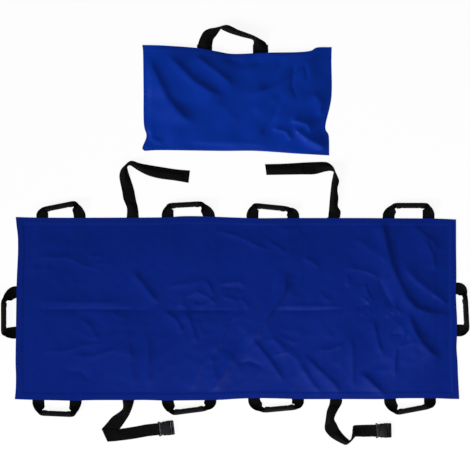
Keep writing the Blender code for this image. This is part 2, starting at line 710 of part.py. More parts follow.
def bag_handle(name, material):
    stations = loop_stations(
        BAG_LEG_SPACING, BAG_LEG_STRAIGHT, BAG_HANDLE_REACH, BAG_HANDLE_TOP / 2, BAG_WEB_WIDTH,
        BAG_HANDLE_NARROW, BAG_HANDLE_FOLDED / BAG_WEB_THICK, -BAG_WEB_THICK / 2,
        -BAG_WEB_THICK / 2 + BAG_HANDLE_FOLDED, BAG_HANDLE_LEAN)
    return solid(name, tape(bmesh.new(), stations, BAG_WEB_THICK), material)


def panel_at(x, bodies):
    """The moving body of the mat that lies at x."""
    return bodies[sum(x > crease for crease in CREASES)]


def handle_middle(where):
    """Place of a long edge's handle along the mat."""
    if where in HANDLE_FROM_LEFT_END:
        return HANDLE_FROM_LEFT_END[where] - HALF_LENGTH
    if where in HANDLE_FROM_RIGHT_END:
        return HALF_LENGTH - HANDLE_FROM_RIGHT_END[where]
    return HANDLE_FROM_MIDDLE[where]


def build_mat(fabric):
    """Four panels in a chain of folds."""
    bodies = [None]
    for i, (x, height) in enumerate(zip(CREASES, FOLD_HEIGHTS)):
        bodies.append(joint_axis(f"fold_{i + 1}_axis", bodies[i], (x, 0, height)))
    bounds = [-HALF_LENGTH, *CREASES, HALF_LENGTH]
    for i, (left, right) in enumerate(zip(bounds, bounds[1:])):
        left += SEAT_GAP / 2 if i else 0
        right -= SEAT_GAP / 2 if i < 3 else 0
        hang(mat_panel(f"mat_panel_{i + 1}", left, right, i == 0, i == 3, fabric), bodies[i], (0, 0, 0))
    return bodies


def build_webbing(bodies, webbing):
    """Crosswise webbing under the mat, one run for each pair of legs or strap feet."""
    for i in (1, 2, 3, 4):
        far, near = f"far_{i}", f"near_{i}"
        for side, sign in (("left", -1), ("right", 1)):
            far_x = handle_middle(far) + sign * LEG_SPACING[far] / 2
            near_x = handle_middle(near) + sign * LEG_SPACING[near] / 2
            run = cross_webbing(f"cross_webbing_{i}_{side}", far_x, near_x, webbing)
            hang(run, panel_at(far_x, bodies), (0, 0, 0))
    for side in ("left", "right"):
        far_x, near_x = STRAP_FEET["far_" + side], STRAP_FEET["near_" + side]
        run = cross_webbing(f"strap_webbing_{side}", far_x, near_x, webbing)
        hang(run, panel_at(far_x, bodies), (0, 0, 0))
    for side, sign in (("left", -1), ("right", 1)):
        end = side + "_end"
        for edge, way in (("far", 1), ("near", -1)):
            y = END_HANDLE_OFF_MIDDLE[end] + way * LEG_SPACING[end] / 2
            tab = end_tab(f"end_tab_{side}_{edge}", sign, y, webbing)
            hang(tab, panel_at(sign * HALF_LENGTH, bodies), (0, 0, 0))


def build_handle(where, spot, turn, body, webbing, rubber):
    """One handle on its bend at the mat's edge: webbing and grip."""
    axis = joint_axis(f"handle_{where}_axis", body, spot, turn)
    lean = HANDLE_LEAN[where]
    reach = RIGHT_END_REACH if where == "right_end" else HANDLE_REACH
    handle_webbing(f"handle_{where}", LEG_SPACING[where], reach, lean, webbing).parent = axis
    held = grip(f"grip_{where}", rubber)
    held.parent = axis
    held.location = (0, reach, GRIP_MID - WEB_TOP)
    held.rotation_euler = (0, 0, math.atan(lean))


def build_handles(bodies, webbing, rubber):
    """Four handles on each long edge and one at each end."""
    for edge, sign, turn in (("far", 1, 0), ("near", -1, math.pi)):
        for i in (1, 2, 3, 4):
            x = handle_middle(f"{edge}_{i}")
            spot = (x, sign * EDGE_BEND, WEB_TOP)
            build_handle(f"{edge}_{i}", spot, turn, panel_at(x, bodies), webbing, rubber)
    for where, sign in (("left_end", -1), ("right_end", 1)):
        spot = (sign * END_BEND, END_HANDLE_OFF_MIDDLE[where], WEB_TOP)
        body = panel_at(sign * HALF_LENGTH, bodies)
        build_handle(where, spot, -sign * math.pi / 2, body, webbing, rubber)


def build_buckle(side, strap_axis, which, plastic):
    """Side-release buckle on the strap's loop, plugged together."""
    onward = heading_of(which)
    foot = world_of(strap_axis)
    spot = foot @ flat(STRAP_TIP[which], BUCKLE_MID - WEB_TOP)
    heading = foot.to_euler().z + math.atan2(onward.y, onward.x)
    swing = joint_axis(f"buckle_{side}_swing_axis", strap_axis, spot, heading)
    buckle_socket(f"buckle_socket_{side}", plastic).parent = swing
    pull = joint_axis(f"buckle_{side}_pull_axis", swing, spot, heading)
    buckle_plug(f"buckle_plug_{side}", plastic).parent = pull
    for name, way in (("far", 1), ("near", -1)):
        root = (MOUTH - ARM_ROOT_RADIUS, way * ARM_ROOT_OFF_AXIS, 0)
        bend = joint_axis(f"buckle_{side}_arm_{name}_axis", pull, world_of(swing) @ Vector(root), heading)
        buckle_arm(f"buckle_arm_{side}_{name}", way, plastic).parent = bend


def build_straps(bodies, webbing, plastic):
    """Two plain strap halves on the far edge and two with buckles on the near edge."""
    for side in ("left", "right"):
        which = "far_" + side
        x = STRAP_FEET[which]
        axis = joint_axis(f"strap_{which}_axis", panel_at(x, bodies), (x, EDGE_BEND, WEB_TOP))
        plain_strap(f"strap_{which}", which, webbing).parent = axis
        which = "near_" + side
        x = STRAP_FEET[which]
        axis = joint_axis(f"strap_{which}_axis", panel_at(x, bodies), (x, -EDGE_BEND, WEB_TOP), math.pi)
        buckle_strap(f"strap_{which}", which, webbing).parent = axis
        build_buckle(side, axis, which, plastic)


def build_bag(fabric, webbing):
    """Carry bag: back and front panel sewn round three sides, with a webbing handle at the mouth."""
    middle = (BAG_MIDDLE_X, (BAG_BOTTOM_LEFT + BAG_TOP) / 2, FLOOR)
    bag = joint_axis("bag_lift_axis", None, middle)
    back = bag_panel("bag_back_panel", FLOOR, lambda u, v: 0.0, 4, fabric)
    front = bag_panel("bag_front_panel", FLOOR + BAG_FABRIC + SEAT_GAP, bag_swell, BAG_ROWS, fabric)
    pieces = [back, front]
    for side, sign in (("left", -1), ("right", 1)):
        x = BAG_LEGS_MIDDLE + sign * BAG_LEG_SPACING / 2
        pieces.append(bag_tab(f"bag_handle_tab_{side}", x, webbing))
    for piece in pieces:
        hang(piece, bag, (0, 0, 0))
    spot = (BAG_LEGS_MIDDLE, BAG_TOP + BAG_BENDS_OUTSIDE, BAG_LEG_TOP)
    bag_handle("bag_handle", webbing).parent = joint_axis("bag_handle_axis", bag, spot)


def main():
    for thing in list(bpy.data.objects):
        bpy.data.objects.remove(thing, do_unlink=True)
    fabric = finish("coated_blue_fabric", (0.004, 0.016, 0.17), 0.45)
    bag_fabric = finish("blue_bag_fabric", (0.005, 0.025, 0.24), 0.42)
    webbing = finish("black_webbing", (0.008, 0.008, 0.009), 0.8)
    rubber = finish("black_grip_rubber", (0.022, 0.024, 0.028), 0.55)
    plastic = finish("black_buckle_plastic", (0.03, 0.032, 0.036), 0.4)
    bodies = build_mat(fabric)
    build_webbing(bodies, webbing)
    build_handles(bodies, webbing, rubber)
    build_straps(bodies, webbing, plastic)
    build_bag(bag_fabric, webbing)


main()
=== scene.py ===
"""Looks of a folding fabric stretcher that lies open, with its carry bag beyond its far edge."""

import json
import math

import bmesh
import bpy
import numpy as np
from bpy.props import FloatProperty, FloatVectorProperty, IntProperty, PointerProperty
from bpy.types import Operator, Panel, PropertyGroup
from mathutils import Matrix, Vector

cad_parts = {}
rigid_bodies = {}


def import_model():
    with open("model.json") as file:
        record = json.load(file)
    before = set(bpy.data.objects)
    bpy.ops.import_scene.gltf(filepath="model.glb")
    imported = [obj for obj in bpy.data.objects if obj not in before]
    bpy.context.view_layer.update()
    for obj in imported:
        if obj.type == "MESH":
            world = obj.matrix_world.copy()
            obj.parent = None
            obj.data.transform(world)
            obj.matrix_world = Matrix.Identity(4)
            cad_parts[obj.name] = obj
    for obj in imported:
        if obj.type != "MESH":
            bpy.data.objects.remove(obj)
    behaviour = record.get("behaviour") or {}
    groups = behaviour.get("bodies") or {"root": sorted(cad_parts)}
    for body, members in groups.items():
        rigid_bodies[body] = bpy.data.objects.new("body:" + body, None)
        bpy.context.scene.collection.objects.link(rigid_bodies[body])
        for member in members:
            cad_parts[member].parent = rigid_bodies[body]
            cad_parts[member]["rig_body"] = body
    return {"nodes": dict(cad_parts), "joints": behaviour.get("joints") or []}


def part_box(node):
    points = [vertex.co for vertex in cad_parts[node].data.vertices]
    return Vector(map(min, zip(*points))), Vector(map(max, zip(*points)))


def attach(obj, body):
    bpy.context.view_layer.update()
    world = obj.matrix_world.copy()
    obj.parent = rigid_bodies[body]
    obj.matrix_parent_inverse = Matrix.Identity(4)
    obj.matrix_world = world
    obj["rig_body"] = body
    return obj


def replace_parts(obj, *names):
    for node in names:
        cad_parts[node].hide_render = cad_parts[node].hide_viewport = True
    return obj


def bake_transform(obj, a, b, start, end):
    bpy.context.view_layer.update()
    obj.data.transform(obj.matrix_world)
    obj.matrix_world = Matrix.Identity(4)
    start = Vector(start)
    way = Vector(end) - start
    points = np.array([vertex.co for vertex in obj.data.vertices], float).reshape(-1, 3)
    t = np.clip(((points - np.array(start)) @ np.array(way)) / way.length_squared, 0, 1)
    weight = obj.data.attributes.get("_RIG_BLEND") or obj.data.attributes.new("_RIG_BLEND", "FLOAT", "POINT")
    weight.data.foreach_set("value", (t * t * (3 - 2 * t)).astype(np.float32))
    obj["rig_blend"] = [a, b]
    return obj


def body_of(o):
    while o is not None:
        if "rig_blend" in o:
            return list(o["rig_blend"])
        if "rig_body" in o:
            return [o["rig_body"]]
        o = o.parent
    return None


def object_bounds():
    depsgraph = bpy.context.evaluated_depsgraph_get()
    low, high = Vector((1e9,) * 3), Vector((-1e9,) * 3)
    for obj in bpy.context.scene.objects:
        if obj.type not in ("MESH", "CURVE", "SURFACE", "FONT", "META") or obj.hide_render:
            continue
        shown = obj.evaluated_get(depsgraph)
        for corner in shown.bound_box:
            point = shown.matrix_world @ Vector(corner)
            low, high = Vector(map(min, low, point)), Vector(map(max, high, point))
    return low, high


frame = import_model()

bl_info = {
    "name": "Folding Stretcher",
    "version": (1, 0, 0),
    "blender": (4, 5, 0),
    "location": "3D View > Sidebar > Stretcher",
    "description": "Dresses the frame of a folding fabric stretcher and its carry bag",
    "category": "Object",
}

NODES = frame["nodes"]
JOINTS = {joint["name"]: joint for joint in frame["joints"]}
FRAME_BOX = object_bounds()
FOLDS = ("fold_1", "fold_2", "fold_3")
EDGE_HANDLES = [f"{edge}_{i}" for edge in ("far", "near") for i in (1, 2, 3, 4)]
HANDLES = EDGE_HANDLES + ["left_end", "right_end"]
STRAPS = ("far_left", "far_right", "near_left", "near_right")
SHEETS = ("left", "middle", "right")
UP = Vector((0, 0, 1))
STEP = 0.004  # between the points of a smooth line
TAPE_COLUMNS = 13
FOLDED_COLUMNS = 29
TAPE_BEND = 0.62  # radius of a fold of webbing, in thicknesses
BAG_WIDTH = 0.78
BAG_DEPTH = 0.43

# The tables are in millimetres. Creases that the fabric of the mat keeps from its storage: points, height,
# reach to each side, and the share of the reach that moves over to the left of the way that the points run
MAT_CREASES = (
    (((-880, -3), (-640, -3), (-400, -5), (-300, -6)), -2, 9),
    (((-860, 28), (-640, 25), (-500, 24), (-440, 30)), 2.6, 22),
    (((-300, 20), (-200, 12), (-100, 12)), 1, 10),
    (((-330, -6), (-150, -9), (60, -7)), -1.6, 9),
    (((120, -10), (300, -9), (470, -2)), -1.8, 9),
    (((120, 9), (300, 11), (470, 8)), 1.3, 10),
    (((-440, 160), (-385, 95), (-350, 48), (-318, 16)), 4.4, 23, -0.25),
    (((-860, 214), (-700, 211), (-640, 180), (-550, 156)), 2.3, 13),
    (((-620, 216), (-550, 216)), 1.2, 9),
    (((-600, 186), (-510, 186)), 1.2, 9),
    (((-870, 164), (-760, 164)), 1, 10),
    (((-860, 235), (-800, 268), (-740, 300)), 1.6, 20),
    (((-720, 275), (-660, 305), (-600, 350)), -2.4, 14),
    (((-810, -180), (-700, -174), (-620, -148), (-510, -146)), 2.3, 14),
    (((-700, -200), (-590, -194), (-510, -172), (-440, -105)), 2.6, 20, -0.5),
    (((-645, -35), (-600, -90), (-570, -140)), 2, 18, -0.3),
    (((-520, -20), (-475, -42), (-450, -30)), 1.2, 9),
    (((-368, -110), (-366, -220), (-364, -350)), 3, 22, -0.35),
    (((-454, -100), (-440, -220), (-425, -300), (-418, -350)), 1.8, 18, -0.5),
    (((-730, -263), (-650, -260), (-610, -305)), -1.8, 13),
    (((-105, 326), (0, 300), (60, 272), (115, 246), (160, 242)), 2.1, 13, 0.3),
    (((120, 284), (170, 255), (210, 225)), 1.8, 10),
    (((160, 350), (215, 325), (265, 350)), 1.8, 18),
    (((30, 325), (70, 340), (110, 350)), -1.4, 12),
    (((-310, 85), (-240, 100), (-180, 106), (-118, 124)), 2.3, 16),
    (((-132, 124), (-112, 90), (-98, 48)), 2.6, 13, -0.3),
    (((-100, 85), (-60, 105), (10, 112), (50, 78)), 1.8, 12),
    (((-70, 86), (0, 88), (34, 70)), -1.5, 10),
    (((-248, -10), (-222, 45), (-165, 70), (-115, 45), (-70, 2)), 2.3, 13),
    (((-210, -5), (-180, 35), (-140, 20)), -1.4, 14),
    (((-70, 54), (-20, 40), (15, 18)), 1.4, 9),
    (((5, 48), (35, 22), (52, -4)), 1.5, 10),
    (((-55, -64), (-10, -40), (30, -14)), 1.8, 11),
    (((-310, -8), (-258, -38), (-236, -72), (-218, -112)), 3, 15, -0.4),
    (((-228, -6), (-196, -50), (-180, -95), (-170, -155)), 3.4, 20, -0.2),
    (((-168, -40), (-148, -90), (-132, -128)), 1.6, 13),
    (((-115, -185), (-72, -145), (-52, -95), (-30, -48)), 3, 16, 0.3),
    (((20, -180), (78, -100), (120, -45), (160, 20), (195, 70), (212, 168)), 7.8, 28, 0.35),
    (((-15, -172), (45, -85), (95, -10), (140, 60), (168, 155)), -2.6, 13),
    (((118, -62), (158, -135), (200, -175), (255, -215), (290, -270), (310, -345)), 3, 24, -0.1),
    (((50, -108), (100, -170), (135, -212), (166, -258), (202, -315)), 3, 18, -0.5),
    (((140, -194), (180, -188), (240, -176)), 1.3, 10),
    (((-5, -228), (55, -220), (115, -246)), -2.8, 14),
    (((-146, -200), (-160, -255), (-190, -345)), 3, 21, -0.3),
    (((-116, -180), (-98, -240), (-86, -315)), 2.3, 17),
    (((-12, -175), (-52, -270), (-115, -355)), 4.2, 30, -0.3),
    (((575, 480), (600, 365), (622, 260), (642, 180), (672, 110), (705, 45), (742, 5), (800, -18),
      (930, -36)), 6.6, 34, -0.47),
    (((680, 188), (745, 118), (800, 75), (885, 25)), 4.4, 28, 0.2),
    (((715, 370), (780, 305), (815, 280), (848, 225)), 3, 22, -0.3),
    (((775, 300), (812, 225), (830, 150)), 3.2, 22, -0.3),
    (((808, 68), (845, 42), (880, 16)), 1.8, 11, -0.3),
    (((586, 130), (615, 65), (655, -5)), -2.8, 16),
    (((440, 166), (500, 163), (545, 152), (600, 124)), 2.3, 12),
    (((526, 108), (545, 58), (570, 22)), 2.6, 15, -0.4),
    (((562, -35), (577, -100), (588, -145), (610, -205)), 2.8, 15, -0.5),
    (((703, -75), (690, -130), (664, -162), (655, -210), (656, -300)), 2.5, 14, -0.4),
    (((664, -164), (705, -148), (750, -136)), 1.9, 10),
    (((635, -108), (665, -104), (695, -110)), -1.8, 9),
    (((704, -5), (735, -90), (768, -142), (806, -182), (850, -222)), 6.6, 30, -0.45),
    (((505, -258), (548, -298), (590, -338), (650, -405)), 6, 26, -0.45),
    (((275, -185), (330, -245), (376, -285), (408, -318), (436, -375)), 4.2, 24, -0.45),
    (((250, -225), (300, -290), (356, -365)), 2.6, 20, -0.4),
    (((385, -115), (420, -70), (445, -22)), -2.1, 11),
    (((325, -170), (385, -172), (450, -145)), 2.5, 14),
    (((478, -110), (480, -220), (482, -350)), 2, 13, -0.3),
    (((262, 220), (310, 195), (350, 166)), 1.8, 11),
    (((480, 300), (560, 240), (640, 188)), 2.8, 30),
    (((500, -8), (520, 8), (548, 22)), -2, 8),
    (((505, 45), (530, 42), (560, 10)), 1.7, 9),
    (((512, -28), (540, -6), (560, -10)), 1.8, 9),
    (((620, -40), (632, -12), (665, -20)), 1.9, 12),
    (((345, 70), (368, 40), (400, 30)), 1.7, 11),
    (((452, 140), (462, 120), (458, 90)), 1.5, 11),
    (((660, 40), (655, 5), (690, -30)), 2.1, 14, -0.3),
)

# How the mat's edges wander: place along each edge, and shift of the edge in x or y
MAT_EDGES = {
    "far": ((-920, 2), (-800, 0), (-450, 0), (-300, 1.5), (-228, 6), (-154, 6), (-79, 3), (0, 0),
            (100, -2), (220, -1), (440, -2), (670, -3), (820, -4), (920, -8)),
    "near": ((-920, 2), (-880, 0), (-820, -2), (-750, -4), (-676, -6), (-600, -4), (-450, -3), (-378, -2),
             (-300, -4), (-200, -4), (-80, -3), (0, 2), (70, 5), (145, 5), (220, 3), (300, 1), (500, 1),
             (600, 2), (670, 5.5), (745, 6), (820, 5), (880, 2), (920, 1)),
    "left": ((-380, -7), (-338, -3), (-280, -2), (-220, -4), (-100, -3), (10, -1.5), (127, 1), (185, 4),
             (243, 6), (300, 5), (340, 0), (380, -4)),
    "right": ((-380, 7), (-338, 5), (-280, 2), (-222, 0), (-164, -4), (-106, -2), (-48, -2), (10, -5),
              (68, -7), (127, -5), (243, -6), (300, -6), (380, -6)),
}

# Folds of the bag's front, given like the mat's creases
BAG_FOLDS = (
    (((-372, 1050), (-345, 985), (-286, 865), (-228, 799), (-160, 752)), 12.5, 45, -0.35),
    (((-300, 1060), (-245, 1008), (-178, 940), (-104, 894), (-36, 874)), 10.5, 38, -0.3),
    (((-185, 1060), (-150, 1031), (-79, 977), (-5, 915)), 6.2, 26, -0.2),
    (((370, 1065), (320, 1030), (253, 973), (170, 923), (79, 890), (0, 885)), 5.5, 26, 0.2),
    (((205, 1045), (187, 1019), (145, 957), (90, 905)), -3.6, 22),
    (((237, 1030), (228, 923), (257, 855)), -2.6, 11),
    (((278, 1020), (288, 980), (290, 945)), -2.4, 9),
    (((180, 850), (142, 780), (96, 715)), -4, 17),
    (((70, 800), (110, 850), (180, 880)), 3.4, 24),
    (((230, 762), (253, 733), (295, 699), (336, 679), (385, 662)), 9, 22, 0.35),
    (((140, 752), (165, 743), (203, 733), (232, 690)), 5, 16, 0.2),
    (((215, 782), (250, 776), (290, 764), (312, 725)), 6.4, 18, 0.3),
    (((312, 905), (345, 850), (350, 790)), 5, 28),
    (((-100, 860), (-50, 830), (10, 760)), 2.6, 30),
    (((-375, 760), (-352, 706), (-300, 680)), 4.5, 18),
    (((-384, 690), (-372, 668), (-345, 660)), 3, 10),
    (((-60, 1045), (30, 1010), (120, 1030)), -3, 26),
    (((-240, 700), (-120, 690), (20, 690), (140, 675)), 2.4, 20),
)

# Both edges of each strap from the mat's edge to its end, as x and y of one edge and of the other
STRAP_EDGES = {
    "far_left": ((-458, 377, -407, 377), (-457, 417, -411, 417), (-471, 453, -419, 450),
                 (-478, 492, -427, 492), (-486, 529, -439, 531), (-488, 554, -447, 554),
                 (-481, 577, -453, 575), (-464, 596, -455, 587), (-446, 611, -447, 594),
                 (-430, 612, -436, 590), (-403, 603, -409, 572), (-361, 595, -369, 552),
                 (-312, 587, -320, 539), (-253, 578, -259, 531), (-195, 573, -201, 521)),
    "far_right": ((378, 377, 428, 377), (381, 405, 430, 403), (383, 427, 419, 425), (386, 463, 421, 459),
                  (389, 492, 417, 496), (393, 525, 424, 528), (398, 550, 417, 549), (401, 565, 409, 566),
                  (397, 569, 401, 585), (386, 571, 388, 599), (365, 568, 368, 608), (321, 557, 322, 608),
                  (261, 556, 261, 605), (191, 555, 191, 601), (122, 554, 116, 599)),
    "near_left": ((-476, -377, -425, -377), (-473, -409, -434, -409), (-483, -425, -446, -439),
                  (-517, -449, -461, -464), (-539, -474, -490, -504), (-561, -499, -536, -553),
                  (-506, -501, -498, -550), (-437, -492, -434, -542), (-384, -482, -377, -532)),
    "near_right": ((386, -377, 437, -377), (383, -398, 434, -396), (373, -425, 417, -425),
                   (368, -459, 404, -457), (364, -500, 414, -479), (382, -528, 424, -500),
                   (407, -546, 438, -519), (432, -559, 452, -534), (451, -566, 461, -542),
                   (465, -559, 467, -547), (479, -546, 474, -539), (490, -533, 478, -519),
                   (496, -532, 480, -498), (504, -532, 486, -485), (531, -532, 528, -483)),
}

# Straps that fold flat over themselves, and the row of their edges at which they do
FLAT_FOLDS = {"near_left": 5}

# Both edges of the bag's handle, from the mouth on the left to the mouth on the right
BAG_HANDLE_EDGES = (
    (-168, 1060, -107, 1055), (-166, 1081, -105, 1073), (-156, 1116, -99, 1114), (-139, 1148, -87, 1131),
    (-116, 1161, -79, 1143), (-93, 1165, -72, 1153), (-75, 1169, -67, 1160), (-44, 1177, -54, 1153),
    (-19, 1169, -31, 1143), (4, 1157, -6, 1135), (37, 1145, 29, 1125), (66, 1134, 58, 1118),
    (93, 1120, 69, 1110), (118, 1104, 68, 1094), (129, 1081, 67, 1077), (130, 1060, 67, 1055),
)

# How each grip lies: shift along the edge and outwards from its place in the frame, and its rise along its
# length as a share
GRIP_PLACES = {
    "far_1": (-8, -4, 0.20), "far_2": (-13, 3, 0.055), "far_3": (-9, -7, -0.10), "far_4": (9, 0, 0),
    "near_1": (0, 9, -0.043), "near_2": (0, -4, 0.13), "near_3": (-14, -12, 0.09), "near_4": (-12, -9, 0.19),
    "left_end": (-20, 3, 0), "right_end": (16, -4, 0.052),
}

# Outline of the bag: left and right side from the bottom up, bottom seam and mouth from the left
BAG_SIDES = (
    ((-383, 654), (-393, 667), (-376, 716), (-387, 770), (-388, 907), (-390, 1060), (-393, 1094)),
    ((383, 635), (381, 716), (367, 757), (392, 878), (392, 1020), (393, 1085)),
)
BAG_SEAM = ((-383, 654), (-307, 657), (-66, 654), (79, 654), (245, 643), (383, 635))
BAG_MOUTH = (
    (-393, 1094), (-307, 1091), (-170, 1081), (-87, 1067), (-12, 1056), (129, 1061), (245, 1063),
    (305, 1069), (332, 1083), (393, 1085),
)


def metres(places):
    """Places given in millimetres, in metres."""
    return np.array(places) / 1000


def length_prop(name, says, default):
    """A length that a user may change."""
    return FloatProperty(name=name, description=says, default=default, unit="LENGTH")


def number_prop(name, says, default):
    """A plain number that a user may change."""
    return FloatProperty(name=name, description=says, default=default)


def angle_prop(name, says, degrees):
    """An angle that a user may change."""
    return FloatProperty(name=name, description=says, default=math.radians(degrees), subtype="ANGLE")


def colour_prop(name, says, default):
    """A colour that a user may change."""
    return FloatVectorProperty(name=name, description=says, default=default, subtype="COLOR")


def place_prop(name, says, default):
    """A place that a user may change."""
    return FloatVectorProperty(name=name, description=says, default=default, unit="LENGTH")


class MatLooks(PropertyGroup):
    """Sizes and colour of the mat's cloth"""

    cloth_thick: length_prop("Cloth thickness", "Coated cloth of the mat", 0.0008)
    grid: length_prop("Grid", "Mesh size of the cloth", 0.0042)
    hem: length_prop("Hem", "Width of the turned hem", 0.025)
    hem_turn: length_prop("Hem step", "Width over which the hem's second layer starts", 0.0030)
    waver: length_prop("Waver", "Small unevenness of the edges", 0.0006)
    sag: length_prop("Sag", "How far the cloth sinks beside the webbing under it", 0.0005)
    crease_share: number_prop("Creases", "Strength of the storage creases", 1.6)
    swell: length_prop("Swell", "Height of the broad waves", 0.0038)
    bend: length_prop("Fold bend", "Half the length of cloth that bends at a fold", 0.009)
    colour: colour_prop("Colour", "Colour of the coated cloth", (0.0005, 0.0128, 0.176))


class WebbingLooks(PropertyGroup):
    """Sizes and colour of the stretcher's webbing"""

    width: length_prop("Width", "Width of the black webbing", 0.050)
    thick: length_prop("Thickness", "Thickness of the black webbing", 0.0014)
    bend: length_prop("Bend", "Length of webbing that bends beside the mat's edge", 0.016)
    lead: length_prop("Lead", "From a buckle's bar to the seam of the strap's loop", 0.018)
    sewn: length_prop("Sewn", "Length of that seam", 0.042)
    loop_gap: length_prop("Loop gap", "Gap between the layers of the loop", 0.0007)
    colour: colour_prop("Colour", "Colour of the webbing", (0.0020, 0.0020, 0.0023))


class GripLooks(PropertyGroup):
    """Sizes and colour of the grips"""

    length: length_prop("Length", "Length of a grip", 0.120)
    depth: length_prop("Depth", "Size of a grip across, seen from above", 0.0215)
    height: length_prop("Height", "Height of a lying grip", 0.0165)
    rib_length: length_prop("Ribbed length", "Length of the part with finger ribs", 0.066)
    ribs: IntProperty(name="Ribs", description="Number of finger ribs", default=9)
    rib_height: length_prop("Rib height", "How far a rib stands out", 0.0019)
    flare: length_prop("Flare", "How far the ends spread towards the mat", 0.0032)
    colour: colour_prop("Colour", "Colour of the rubber", (0.0032, 0.0032, 0.0042))


class BagLooks(PropertyGroup):
    """Sizes and colour of the carry bag"""

    cloth_thick: length_prop("Cloth thickness", "Coated cloth of the bag", 0.0008)
    loft: length_prop("Loft", "Height of the bag's front between its seams", 0.017)
    sides: number_prop("Sides", "How square the loft is from side to side", 3.2)
    opening: length_prop("Opening", "How far the mouth stands open", 0.010)
    fold_share: number_prop("Folds", "Strength of the folds of the front", 1.5)
    web_width: length_prop("Webbing width", "Width of the bag's webbing handle", 0.0635)
    web_thick: length_prop("Webbing thickness", "Thickness of the handle", 0.0018)
    colour: colour_prop("Colour", "Colour of the bag's cloth", (0.0005, 0.0232, 0.268))


class BuckleLooks(PropertyGroup):
    """Sizes and colour of the buckles"""

    rounding: length_prop("Rounding", "Radius of the moulded edges", 0.0004)
    slot: length_prop("Slot", "Width of the slots for the webbing", 0.052)
    rear: length_prop("Rear edge", "From the bar's axis to the socket's edge behind it", 0.0078)
    rear_lip: length_prop("Rear lip", "How far that edge reaches back to the webbing", 0.0034)
    ladder: length_prop("Ladder", "From the bar's axis to the first ladder slot", 0.0470)
    ladder_slot: length_prop("Ladder slot", "Length of a ladder slot", 0.0038)
    ladder_pitch: length_prop("Ladder pitch", "From one ladder slot to the next", 0.0084)
    lip_wall: length_prop("Lip", "Thickness of a lip in a slot", 0.0011)
    lip_low: length_prop("Lip's low edge", "Depth of its low edge under the bar's axis", 0.0022)
    lip_high: length_prop("Lip's high edge", "Height of its high edge over the axis", 0.0012)
    colour: colour_prop("Colour", "Colour of the plastic", (0.0058, 0.0060, 0.0085))


class StitchLooks(PropertyGroup):
    """Sizes and colours of the seams"""

    pitch: length_prop("Pitch", "Distance between stitches", 0.0050)
    length: length_prop("Length", "Length of a stitch", 0.0036)
    thread: length_prop("Thread", "Thickness of the thread", 0.0007)
    edge: length_prop("Edge", "From an edge to the row beside it", 0.0030)
    row: length_prop("Rows", "From a webbing's middle to its rows of stitches", 0.0215)
    box: length_prop("Box", "From a hem to the far side of a box seam", 0.046)
    blue: colour_prop("Blue", "Colour of the blue thread", (0.0010, 0.0105, 0.130))
    black: colour_prop("Black", "Colour of the black thread", (0.0055, 0.0055, 0.0065))


class StageLooks(PropertyGroup):
    """Lamps, sky, floor and camera"""

    key: number_prop("Key light", "Strength of the soft light from the left", 3.4)
    key_rise: angle_prop("Key height", "How high the key light stands", 22)
    key_way: angle_prop("Key direction", "Where the key light comes from, seen from above", 212)
    key_soft: angle_prop("Key softness", "How wide the key light looks", 16)
    fill: number_prop("Fill light", "Power of the soft lamp on the near side", 20.0)
    fill_size: length_prop("Fill size", "Width of that lamp", 1.4)
    fill_place: place_prop("Fill place", "Where that lamp hangs", (0.25, -1.5, 1.3))
    sky: number_prop("Sky", "Strength of the light from all round", 0.36)
    floor: colour_prop("Floor", "Colour of the floor", (0.96, 0.96, 0.96))
    shadow_share: number_prop("Shadow", "How much of its shadow the floor shows", 0.10)
    view_width: length_prop("View width", "Width of floor that the camera sees", 1.9505)
    view_middle: place_prop("View middle", "Floor point that the camera looks at", (-0.0083, 0.305, 0.0))
    camera_height: length_prop("Camera height", "Height of the camera", 9.0)


def ease(t):
    """Smooth step from 0 to 1 of a number or an array."""
    t = np.clip(t, 0.0, 1.0)
    return t * t * (3 - 2 * t)


def lines(low, high, step, kept):
    """Grid lines from low to high about a step apart, with the kept ones exactly in place."""
    count = max(1, round((high - low) / step))
    plain = np.linspace(low, high, count + 1)
    kept = np.unique([low, high] + [k for k in kept if low < k < high])
    near = np.abs(plain[:, None] - kept[None, :]).min(axis=1) < step * 0.45
    return np.sort(np.concatenate([plain[~near], kept]))


def ridges(x, y, creases):
    """Height of a set of creases at each point, sharp along the crest and fading at both ends."""
    crest, spread, fade = 0.22, 0.8, 0.25
    height = np.zeros_like(x)
    for points, rise, reach, *skew in creases:
        points = metres(points)
        steps = np.linalg.norm(np.diff(points, axis=0), axis=1)
        total, run = steps.sum(), 0.0
        best, along, left = np.full(x.shape, np.inf), np.zeros_like(x), np.zeros_like(x)
        for start, end, step in zip(points, points[1:], steps):
            way = (end - start) / step
            share = np.clip((x - start[0]) * way[0] + (y - start[1]) * way[1], 0, step)
            off = np.hypot(x - start[0] - way[0] * share, y - start[1] - way[1] * share)
            side = np.sign(way[0] * (y - start[1]) - way[1] * (x - start[0]))
            closer = off < best
            best = np.where(closer, off, best)
            along = np.where(closer, (run + share) / total, along)
            left = np.where(closer, side, left)
            run += step
        flank = reach / 1000 * (1 + left * (skew[0] if skew else 0))
        soft = flank * crest
        fall = np.exp(-(np.sqrt(best ** 2 + soft ** 2) - soft) / (flank * spread))
        height += rise / 1000 * fall * ease(along / fade) * ease((1 - along) / fade)
    return height


def waves(x, y, length, count, seed):
    """Sum of long even waves in all directions, about 1 high."""
    draw = np.random.default_rng(seed)
    total = np.zeros_like(x)
    for _ in range(count):
        way, phase = draw.uniform(0, math.pi), draw.uniform(0, 2 * math.pi)
        turn = 2 * math.pi / (length * draw.uniform(0.6, 1.5))
        total += np.sin(turn * (x * math.cos(way) + y * math.sin(way)) + phase)
    return total / math.sqrt(count)


